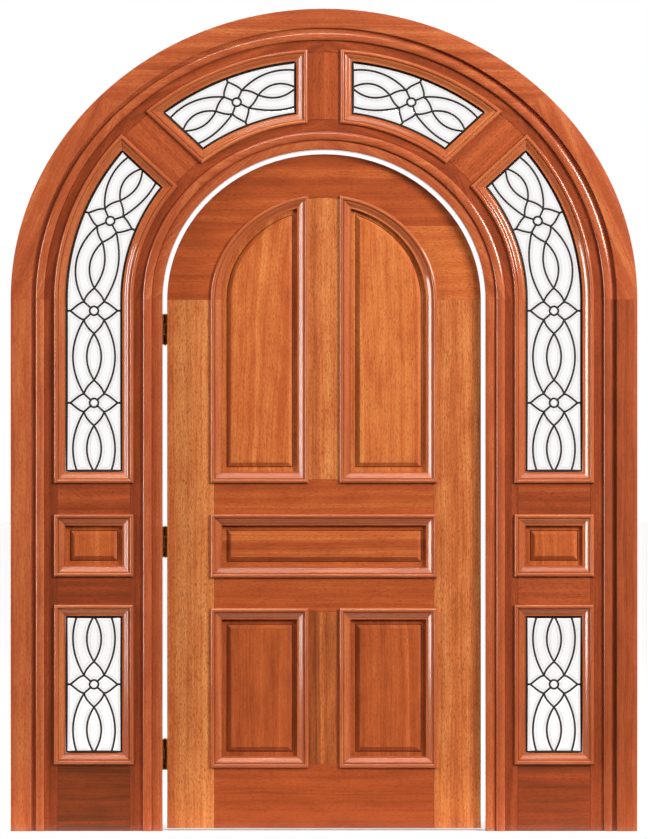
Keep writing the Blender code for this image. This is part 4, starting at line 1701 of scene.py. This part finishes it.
@dataclass(frozen=True)
class LeadedLight:
    """One leaded light: pieces of bevelled glass, the came between them and the moulding round them.

    Its pattern runs up the middle line of the lights from low to high. The heart is the came between two
    pieces of glass, and a small piece's bevel takes a narrow share of its area over its edge.
    """

    door: Doorway
    place: str
    side: Side
    opening: Opening
    low: float
    high: float
    pattern: LeadPattern = LeadPattern()
    border_came: float = 0.006
    heart: float = 0.0012
    bevel: float = 0.009
    narrow: float = 0.75
    bevel_fall: float = 0.0026
    arris: float = 0.0009
    glass: float = 0.0062

    @property
    def front(self) -> float:
        """The depth of the glass's face."""
        return Joinery.sash(self.door).cheeks[0] + CLEAR

    def lattice(self) -> Lattice:
        """The light's came lines and cells, on its own side.

        Returns:
            The lattice.
        """
        door = self.door
        border = self.opening.outline(-self.border_came / 2)
        drawn = self.pattern.lines(self.low, self.high, door.sight_outer - door.sight_inner)
        lines = [[door.in_lane(*point) for point in line] for line in drawn]
        if self.side is Side.LEFT:
            border, lines = mirrored(border), [mirrored(line) for line in lines]
        return Lattice.cut(border, lines)

    def panes(self, lattice: Lattice) -> Blank:
        """The pieces of glass, each ground to a bevel on its face.

        Args:
            lattice: The light's lattice.

        Returns:
            The blank, with bevels in its second finish and arrises in its third.
        """
        blank, front = Blank(), self.front
        for cell in lattice.cells:
            edge = drawn_in(cell, self.heart / 2)
            sides = list(zip(edge, [*edge[1:], *edge[:1]]))
            area = abs(sum(a[0] * b[1] - b[0] * a[1] for a, b in sides)) / 2
            around = sum(math.dist(a, b) for a, b in sides)
            middle = drawn_in(edge, min(self.bevel, self.narrow * area / around)) if sides else []
            if not middle:
                continue
            inner = [nearest_on(middle, point) for point in edge]
            within = drawn_in(middle, self.arris)
            centre = [nearest_on(within, point) for point in inner] if within else inner
            outer = ((edge, front + self.glass), (edge, front + self.bevel_fall))
            # The bevels and arrises take grey-tinted glass, painted shade for the bevel's refraction
            blank.levels((*outer, (inner, front + SAME_POINT), (centre, front)), (0, 0, 1, 2, 0))
        return blank

    def build(self, finishes: Finishes, sweep: CameSweep) -> None:
        """Builds the glass, the came and the moulding.

        Args:
            finishes: The finishes.
            sweep: The came's sweep.
        """
        lattice = self.lattice()
        glass, leading, moulding = (
            f"{self.place}_{kind}_{self.side.word}" for kind in ("glass", "leading", "moulding")
        )
        piece = Piece.of(glass, "pieces", Body.FRAME, "bevelled_glass")
        piece.from_blank(self.panes(lattice), finishes.glass, finishes.bevel, finishes.arris)
        piece = Piece.of(leading, "came", Body.FRAME, "came_metal")
        depths = (self.front + self.bevel_fall / 2, self.front + self.glass)
        sweep.build(piece, lattice, depths, finishes.came)
        Joinery.sash(self.door).build_moulding(moulding, self.opening.on(self.side), finishes.moulding)


def new_tree(name: str, sizes: Sequence[str]) -> tuple[Tree, Mapping[str, object]]:
    """Makes a Geometry Nodes tree, with a material among its inputs.

    Args:
        name: Its name.
        sizes: The names of its inputs that are sizes.

    Returns:
        The tree and its inputs' sockets by name.
    """
    tree = bpy.data.node_groups.new(name, "GeometryNodeTree")
    kinds = {"Geometry": "Geometry", **dict.fromkeys(sizes, "Float"), "Material": "Material"}
    for socket, kind in kinds.items():
        tree.interface.new_socket(socket, in_out="INPUT", socket_type=f"NodeSocket{kind}")
    tree.interface.new_socket("Geometry", in_out="OUTPUT", socket_type="NodeSocketGeometry")
    given = add(tree, "NodeGroupInput").outputs
    return tree, {socket: given[socket] for socket in kinds}


def end_tree(tree: Tree, shape: Node, material: Socket) -> None:
    """Ends a Geometry Nodes tree: makes its instances real and dresses them.

    Args:
        tree: The tree.
        shape: The node whose result it gives.
        material: The socket that gives its material.
    """
    real = add(tree, "GeometryNodeRealizeInstances", {"Geometry": shape})
    dressed = add(tree, "GeometryNodeSetMaterial", {"Geometry": real, "Material": material})
    add(tree, "NodeGroupOutput", {"Geometry": dressed})


@dataclass
class CameSweep:
    """Geometry Nodes that sweep a came along every line of a lattice and solder it where lines meet.

    The lattice lies in the XY plane, so that every came's round back faces +Z; the tree then stands it up.
    """

    width: float = 0.0058
    border_width: float = 0.0074
    height: float = 0.0034
    solder: float = 0.0038
    flatness: float = 0.9
    sides: int = 12
    segments: tuple[int, int] = (10, 6)
    tree: Tree = field(init=False)

    def __post_init__(self) -> None:
        """Builds the tree."""
        tree, given = new_tree("came_sweep", ("Width", "Height", "Solder", "Front", "Back"))
        self.tree = tree
        curve = add(tree, "GeometryNodeMeshToCurve", {"Mesh": given["Geometry"]})
        level = add(tree, "GeometryNodeSetCurveNormal", {"Curve": curve}, mode="Z_UP")
        girth = add(tree, "GeometryNodeInputNamedAttribute", {"Name": "girth"}, data_type="FLOAT")
        share = add(tree, MATH, {0: girth, 1: given["Width"]}, operation="DIVIDE")
        radius = add(tree, MATH, {0: share, 1: 1.0}, operation="ADD")
        girthed = add(tree, "GeometryNodeSetCurveRadius", {"Curve": level, "Radius": radius})
        circle = add(tree, "GeometryNodeCurvePrimitiveCircle", {"Resolution": self.sides, "Radius": 1.0})
        half = add(tree, MATH, {0: given["Width"], 1: 0.5}, operation="MULTIPLY")
        size = add(tree, COMBINE, {"X": half, "Y": given["Height"], "Z": 1.0})
        profile = add(tree, TRANSFORM, {"Geometry": circle, "Scale": size})
        sweep = {"Curve": girthed, "Profile Curve": profile, "Scale": radius, "Fill Caps": True}
        swept = add(tree, "GeometryNodeCurveToMesh", sweep)
        near = add(tree, "GeometryNodeInputMeshVertexNeighbors")
        meets = add(tree, "FunctionNodeCompare", {2: near, 3: 2}, data_type="INT", operation="GREATER_THAN")
        segments, rings = self.segments
        ball = {"Segments": segments, "Rings": rings, "Radius": given["Solder"]}
        drop = add(tree, "GeometryNodeMeshUVSphere", ball)
        flat = add(tree, TRANSFORM, {"Geometry": drop, "Scale": (1.0, 1.0, self.flatness)})
        drops = add(tree, ON_POINTS, {"Points": given["Geometry"], "Selection": meets, "Instance": flat})
        joined = add(tree, "GeometryNodeJoinGeometry", {"Geometry": [swept, drops]})
        faces = []
        for depth in ("Front", "Back"):
            shift = add(tree, COMBINE, {"Y": given[depth]})
            stood = {"Geometry": joined, "Rotation": (math.pi / 2, 0.0, 0.0), "Translation": shift}
            faces.append(add(tree, TRANSFORM, stood))
        end_tree(tree, add(tree, "GeometryNodeJoinGeometry", {"Geometry": faces}), given["Material"])

    def build(self, piece: Piece, lattice: Lattice, depths: Pair, material: Material) -> None:
        """Builds a light's came on both faces of its glass.

        Args:
            piece: What it becomes.
            lattice: Its lines.
            depths: The depths of the glass's face and back.
            material: Its finish.
        """
        mesh = bpy.data.meshes.new(piece.name)
        mesh.from_pydata([(x, z, 0.0) for x, z in lattice.points], lattice.edges, [])
        girth = mesh.attributes.new("girth", "FLOAT", "POINT")
        for a, b in lattice.border:
            girth.data[a].value = girth.data[b].value = self.border_width - self.width
        sizes = {"Width": self.width, "Height": self.height, "Solder": self.solder}
        front, back = depths
        piece.from_tree(mesh, self.tree, {**sizes, "Front": front, "Back": back, "Material": material})


@dataclass(frozen=True)
class Sidelights:
    """The lights round the leaf on both sides, and the small raised panels in the sidelights."""

    door: Doorway
    timber: Timber = Timber(cut=Cut.RIBBON, tone=-0.03)

    def build(self, finishes: Finishes) -> None:
        """Builds the lights and the panels.

        Args:
            finishes: The finishes.
        """
        door, sweep = self.door, CameSweep()
        inner, outer, angle = door.sight_inner, door.sight_outer, door.spoke_angle
        spoke = door.bar_turn(door.spoke_face, door.lane_span)
        post = door.bar_turn(door.post_face, door.lane_span)
        lower = door.sights("sidelight_lower_moulding_right")
        head_low, _ = door.sights("sidelight_upper_moulding_right")
        transom = (door.lane_height(angle + spoke), door.lane_height(math.pi / 2 - post))
        lights = (
            ("sidelight_lower", rectangle(inner, outer, *lower), *lower),
            ("sidelight_upper", door.side_head(head_low), head_low, door.lane_height(angle - spoke)),
            ("transom", door.transom(), *transom),
        )
        small = rectangle(inner, outer, *door.sights("sidelight_panel_moulding_right"))
        work = Joinery.sash(door)
        for side in Side:
            for place, opening, low, high in lights:
                LeadedLight(door, place, side, opening, low, high).build(finishes, sweep)
            panel = small.on(side)
            work.build_panel(f"sidelight_panel_{side.word}", panel, finishes, self.timber)
            work.build_moulding(f"sidelight_panel_moulding_{side.word}", panel, finishes.moulding)


# The leaf


@dataclass(frozen=True)
class Leaf:
    """The door leaf: stiles, an arched rail, rails and muntins round five raised panels.

    Its tones run from the left or from the bottom up, and the arched rail's boards from the top board on.
    """

    door: Doorway
    arch_joint: float = 1.761
    stile_tones: Pair = (0.06, 0.02)
    muntin_tones: Pair = (-0.11, 0.03)
    rail_tones: Triple = (-0.11, 0.0, 0.01)
    board_tones: Triple = (-0.05, 0.16, -0.03)

    def build_stiles(self, finishes: Finishes) -> None:
        """Builds the two stiles.

        Args:
            finishes: The finishes.
        """
        door, work = self.door, Joinery.leaf(self.door)
        inner = door.leaf_sight + door.mould.member
        for side, slots, tone in zip(Side, ((0, 1, 0, 0), (1, 0, 0, 0)), self.stile_tones):
            ends = side.ends(inner, door.leaf_edge)
            outline = straight(*ends, door.leaf_foot, door.spring - CLEAR, slots)
            piece = Piece.of(f"leaf_stile_{side.word}", "board", Body.LEAF, "leaf_wood")
            work.build_member(piece, outline, finishes.stile, Timber(tone=tone))

    def build_arched_rail(self, finishes: Finishes) -> None:
        """Builds the arched rail, glued up from level boards.

        Args:
            finishes: The finishes.
        """
        door = self.door
        section = Joinery.leaf(door).ring_section(door.leaf_sight + door.mould.member, door.leaf_edge, 1)
        boards = (
            ("top_board", True, 0.0, math.pi),
            ("right_board", False, 0.0, math.pi / 2),
            ("left_board", False, math.pi / 2, math.pi),
        )
        for (name, above, start, end), tone in zip(boards, self.board_tones):
            blank = Blank().skin(door.carried(section, start, end)).sawn(self.arch_joint, above)
            nodes = ("leaf_arched_rail",) if above else ()
            piece = Piece(f"leaf_arched_rail_{name}", Body.LEAF, "rail_wood", nodes)
            piece.from_blank(blank, finishes.rail, timber=Timber(0.0, tone=tone))

    def build_rails(self, finishes: Finishes) -> None:
        """Builds the level rails and the two muntins.

        Args:
            finishes: The finishes.
        """
        door, work = self.door, Joinery.leaf(self.door)
        reach = door.leaf_sight + door.mould.member - CLEAR
        for rail, tone in zip(("bottom", "lock", "upper"), self.rail_tones):
            low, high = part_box(f"leaf_{rail}_rail")
            outline = straight(-reach, reach, low.z, high.z, (0, 0, 0 if rail == "bottom" else 1, 1))
            piece = Piece.of(f"leaf_{rail}_rail", "board", Body.LEAF, "rail_wood")
            work.build_member(piece, outline, finishes.rail, Timber(0.0, tone=tone))
        half = door.muntin_face / 2 + door.mould.lap
        low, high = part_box("leaf_lower_muntin")
        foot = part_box("leaf_upper_muntin")[0].z

        def headed(depth: float, ease: float) -> list[Point]:
            """The upper muntin's outline with slots this deep and edges eased by this much."""
            side = half - depth - ease
            return [(-side, foot + ease), (side, foot + ease), *door.arc_over(reach - ease, side)]

        outlines = (straight(-half, half, low.z, high.z, (1, 1, 0, 0)), headed)
        for place, outline, tone in zip(("lower", "upper"), outlines, self.muntin_tones):
            piece = Piece.of(f"leaf_{place}_muntin", "board", Body.LEAF, "leaf_wood")
            work.build_member(piece, outline, finishes.stile, Timber(tone=tone))

    def build_panels(self, finishes: Finishes) -> None:
        """Builds the raised panels and the mouldings round them.

        Args:
            finishes: The finishes.
        """
        door, work = self.door, Joinery.leaf(self.door)
        inner, outer = door.muntin_sight, door.leaf_sight
        lower = door.sights("leaf_moulding_lower_right")
        middle = door.sights("leaf_moulding_middle")
        head = door.leaf_head(door.sights("leaf_moulding_arched_right")[0])
        panels = (
            ("lower_left", rectangle(-outer, -inner, *lower), Timber(tone=-0.11)),
            ("lower_right", rectangle(inner, outer, *lower), Timber(cut=Cut.CATHEDRAL, tone=-0.08)),
            ("middle", rectangle(-outer, outer, *middle), Timber(0.0, tone=-0.03)),
            ("arched_left", head.flipped(), Timber(cut=Cut.CATHEDRAL, tone=0.04)),
            ("arched_right", head, Timber(cut=Cut.RIBBON, tone=0.08)),
        )
        for name, opening, timber in panels:
            work.build_panel(f"leaf_panel_{name}", opening, finishes, timber)
            work.build_moulding(f"leaf_moulding_{name}", opening, finishes.moulding)

    def build(self, finishes: Finishes) -> None:
        """Builds the leaf.

        Args:
            finishes: The finishes.
        """
        self.build_stiles(finishes)
        self.build_arched_rail(finishes)
        self.build_rails(finishes)
        self.build_panels(finishes)


# The hinges


@dataclass
class ScrewSet:
    """Geometry Nodes that set a slotted countersunk screw in every given point of a hinge.

    The blade that cuts a slot is so many radii long, and its middle lies lift thicknesses out.
    """

    radius: float = 0.0036
    proud: float = 0.0002
    slot: float = 0.0009
    sides: int = 32
    blade: float = 3.0
    lift: float = 0.6
    tree: Tree = field(init=False)

    def __post_init__(self) -> None:
        """Builds the tree."""
        tree, given = new_tree("screw_set", ("Radius", "Depth", "Slot"))
        self.tree = tree
        radius, depth = given["Radius"], given["Depth"]
        disc = {"Vertices": self.sides, "Radius": radius, "Depth": depth}
        head = add(tree, "GeometryNodeMeshCylinder", disc)
        length = add(tree, MATH, {0: radius, 1: self.blade}, operation="MULTIPLY")
        size = add(tree, COMBINE, {"X": length, "Y": given["Slot"], "Z": depth})
        blade = add(tree, "GeometryNodeMeshCube", {"Size": size})
        blades = []
        for lift in (self.lift, -self.lift):
            height = add(tree, MATH, {0: depth, 1: lift}, operation="MULTIPLY")
            shift = add(tree, COMBINE, {"Z": height})
            blades.append(add(tree, TRANSFORM, {"Geometry": blade, "Translation": shift}))
        cut = {"Mesh 1": head, "Mesh 2": blades}
        slotted = add(tree, "GeometryNodeMeshBoolean", cut, operation="DIFFERENCE")
        turned = {"Points": given["Geometry"], "Instance": slotted, "Rotation": (0.0, math.pi / 2, 0.0)}
        end_tree(tree, add(tree, ON_POINTS, turned), given["Material"])

    def build(self, piece: Piece, points: Sequence[Place], plate: float, material: Material) -> None:
        """Sets the screws of one body.

        Args:
            piece: What they become.
            points: The middles of the plates under them.
            plate: The thickness of the plates.
            material: Their finish.
        """
        mesh = bpy.data.meshes.new(piece.name)
        mesh.from_pydata(points, [], [])
        sizes = {"Radius": self.radius, "Depth": plate + 2 * self.proud, "Slot": self.slot}
        piece.from_tree(mesh, self.tree, {**sizes, "Material": material})


@dataclass(frozen=True)
class Hinges:
    """Three brass butt hinges in the gap at the leaf's left edge, with their knuckles behind it.

    The tip's shape is (radius, height) shares of its radius, and the screws (depth, height) shares.
    """

    door: Doorway
    plate: float = 0.0025
    knuckle: float = 0.0055
    ease: float = 0.0006
    tip: float = 0.0034
    tip_shape: tuple[Pair, ...] = ((1.0, 0.0), (1.0, 0.4), (0.6, 0.8))
    play: float = 0.00015
    sides: int = 40
    screws: tuple[Pair, ...] = ((0.68, 0.18), (0.32, 0.5), (0.68, 0.82))

    def add_plate(self, blank: Blank, across: Iterable[float], depths: Pair, heights: Pair) -> None:
        """Adds a flat plate.

        Args:
            blank: The blank that gets it.
            across: The places of its two faces.
            depths: Where it starts and ends in depth.
            heights: Its foot and head.
        """
        (front, back), (foot, head) = depths, heights
        corners = ((front, foot), (back, foot), (back, head), (front, head))
        blank.skin([[(x, y, z) for y, z in corners] for x in across])

    def add_turned(self, blank: Blank, axis: Point, levels: Iterable[Pair]) -> None:
        """Adds a turned solid.

        Args:
            blank: The blank that gets it.
            axis: Its axis.
            levels: Its radii and their heights.
        """
        turns = [math.tau * k / self.sides for k in range(self.sides)]
        x, y = axis
        blank.skin([[(x + r * math.cos(t), y + r * math.sin(t), z) for t in turns] for r, z in levels])

    def add_knuckle(self, blank: Blank, axis: Point, foot: float, head: float, number: int) -> None:
        """Adds a knuckle, with the pin's tip beyond it if it is the first or the last.

        Args:
            blank: The blank that gets it.
            axis: The pin's axis.
            foot: The height of its foot.
            head: The height of its head.
            number: Its number from below, from 0.
        """
        radius, eased = self.knuckle, self.knuckle - self.ease
        ends = ((eased, foot), (radius, foot + self.ease), (radius, head - self.ease), (eased, head))
        self.add_turned(blank, axis, ends)
        if number != 1:
            end, up = (foot, -1) if number == 0 else (head, 1)
            rings = [(self.tip * r, end + up * self.tip * z) for r, z in self.tip_shape]
            self.add_turned(blank, axis, rings)

    def build_leaf(self, node: str, body: Body, thirds: Iterable[int], brass: Material) -> list[Place]:
        """Builds a hinge leaf.

        Args:
            node: The node that it stands for.
            body: Its body.
            thirds: Which knuckles are its own, from below.
            brass: Its finish.

        Returns:
            The middles of the plate under its screws.
        """
        low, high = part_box(node)
        axis = (-(self.door.leaf_edge + self.door.opening_edge) / 2, high.y - self.knuckle)
        near = low.x if body is Body.FRAME else high.x - self.plate
        across, back = (near, near + self.plate), axis[1] - self.knuckle - self.play
        blank, third = Blank(), (high.z - low.z) / 3
        self.add_plate(blank, across, (low.y, back), (low.z, high.z))
        for k in thirds:
            foot, head = low.z + k * third + self.play, low.z + (k + 1) * third - self.play
            self.add_plate(blank, across, (back - self.ease, axis[1]), (foot, head))
            self.add_knuckle(blank, axis, foot, head, k)
        Piece.of(node, "brass", body, "hinge_brass").from_blank(blank, brass)
        deep, tall, middle = back - low.y, high.z - low.z, near + self.plate / 2
        return [(middle, low.y + deep * share, low.z + tall * rise) for share, rise in self.screws]

    def build(self, finishes: Finishes) -> None:
        """Builds the hinge leaves of both bodies, and their screws.

        Args:
            finishes: The finishes.
        """
        screws = ScrewSet()
        for body, half, thirds in ((Body.FRAME, "frame_leaf", (0, 2)), (Body.LEAF, "door_leaf", (1,))):
            points = []
            for height in ("bottom", "middle", "top"):
                points += self.build_leaf(f"hinge_{height}_{half}", body, thirds, finishes.brass)
            piece = Piece(f"{body.value}_hinge_screws", body, "hinge_brass")
            screws.build(piece, points, self.plate, finishes.brass)


# The studio


@dataclass(frozen=True)
class Studio:
    """The pale floor, the soft lights, the white surroundings and the camera straight in front.

    The softboxes have a name, a place, a size and watts.
    """

    view_height: float = 1.197
    distance: float = 20.0
    frame_height: float = 2.45
    sensor: float = 36.0
    floor_front: float = 0.3
    floor_size: float = 60.0
    front_glow: float = 0.06
    glow_depths: Pair = (-0.15, 0.25)
    sky_power: float = 1.75
    sky_spread: float = math.radians(50.0)
    softboxes: tuple[tuple[str, Place, Pair, float], ...] = (
        ("key_softbox", (4.6, -4.3, 3.5), (2.0, 2.0), 545.0),
        ("left_softbox", (-5.75, -2.0, 1.8), (1.1, 3.2), 235.0),
        ("high_softbox", (-0.6, -4.4, 5.7), (3.0, 0.2), 110.0),
    )

    def place(self, name: str, data: bpy.types.ID, place: Sequence[float]) -> bpy.types.Object:
        """Places a light or the camera in the scene.

        Args:
            name: Its name.
            data: Its data.
            place: Its place.

        Returns:
            The object.
        """
        obj = bpy.data.objects.new(name, data)
        obj.location = place
        bpy.context.scene.collection.objects.link(obj)
        return obj

    def build_camera(self) -> None:
        """Sets the camera."""
        data = bpy.data.cameras.new("front_camera")
        data.sensor_width = self.sensor
        data.lens = self.sensor * self.distance / self.frame_height
        data.clip_end = 10 * self.distance
        camera = self.place("front_camera", data, (0.0, -self.distance, self.view_height))
        camera.rotation_euler = (math.pi / 2, 0.0, 0.0)
        bpy.context.scene.camera = camera

    def build_floor(self) -> None:
        """Lays the floor, which is matt and pale."""
        half, near, far = self.floor_size / 2, -self.floor_front, self.floor_size
        corners = [(-half, near, 0), (half, near, 0), (half, far, 0), (-half, far, 0)]
        mesh = bpy.data.meshes.new("floor")
        mesh.from_pydata(corners, [], [(0, 1, 2, 3)])
        finish, _ = new_material("pale_floor", {"Base Color": linear("F4F3F1"), "Roughness": 0.7})
        mesh.materials.append(finish)
        self.place("floor", mesh, (0.0, 0.0, 0.0))

    def build_world(self) -> None:
        """Surrounds the scene with white behind the doorway and with less light in front of it."""
        world = bpy.data.worlds.new("white_surroundings")
        world.use_nodes = True
        tree = world.node_tree
        towards = add(tree, "ShaderNodeTexCoord").outputs["Generated"]
        depth = add(tree, "ShaderNodeSeparateXYZ", {0: towards}).outputs["Y"]
        start, end = self.glow_depths
        ramp = {"Value": depth, "From Min": start, "From Max": end, "To Min": self.front_glow, "To Max": 1.0}
        path = add(tree, "ShaderNodeLightPath").outputs
        rays = {0: path["Is Camera Ray"], 1: path["Is Transmission Ray"]}
        seen = add(tree, MATH, rays, operation="MAXIMUM")
        strength = add(tree, MATH, {0: add(tree, MAP_RANGE, ramp), 1: seen}, operation="MAXIMUM")
        background = tree.nodes["Background"]
        background.inputs["Color"].default_value = (1.0, 1.0, 1.0, 1.0)
        tree.links.new(strength.outputs[0], background.inputs["Strength"])
        bpy.context.scene.world = world
        bpy.context.scene.view_settings.view_transform = "Standard"

    def build_softboxes(self) -> None:
        """Hangs the softboxes, which face the doorway."""
        for name, place, size, power in self.softboxes:
            data = bpy.data.lights.new(name, "AREA")
            data.shape, data.energy = "RECTANGLE", power
            data.size, data.size_y = size
            aim = Vector((0.0, 0.0, self.view_height)) - Vector(place)
            self.place(name, data, place).rotation_euler = aim.to_track_quat("-Z", "Y").to_euler()

    def build_sky(self) -> None:
        """Lights the floor from straight above, which brings it to the white of the surroundings."""
        data = bpy.data.lights.new("sky_panel", "SUN")
        data.energy, data.angle = self.sky_power, self.sky_spread
        self.place("sky_panel", data, (0.0, 0.0, 2 * self.frame_height))

    def build(self) -> None:
        """Builds the studio."""
        self.build_camera()
        self.build_floor()
        self.build_world()
        self.build_sky()
        self.build_softboxes()


def main() -> None:
    """Builds the doorway round its frame and sets the studio."""
    logging.basicConfig(level=logging.INFO, format="%(name)s: %(message)s")
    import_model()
    door, finishes = Doorway.from_frame(), Finishes()
    for assembly in (DoorFrame(door), Sash(door), Sidelights(door), Leaf(door), Hinges(door)):
        assembly.build(finishes)
    Studio().build()


if __name__ == "__main__":
    main()
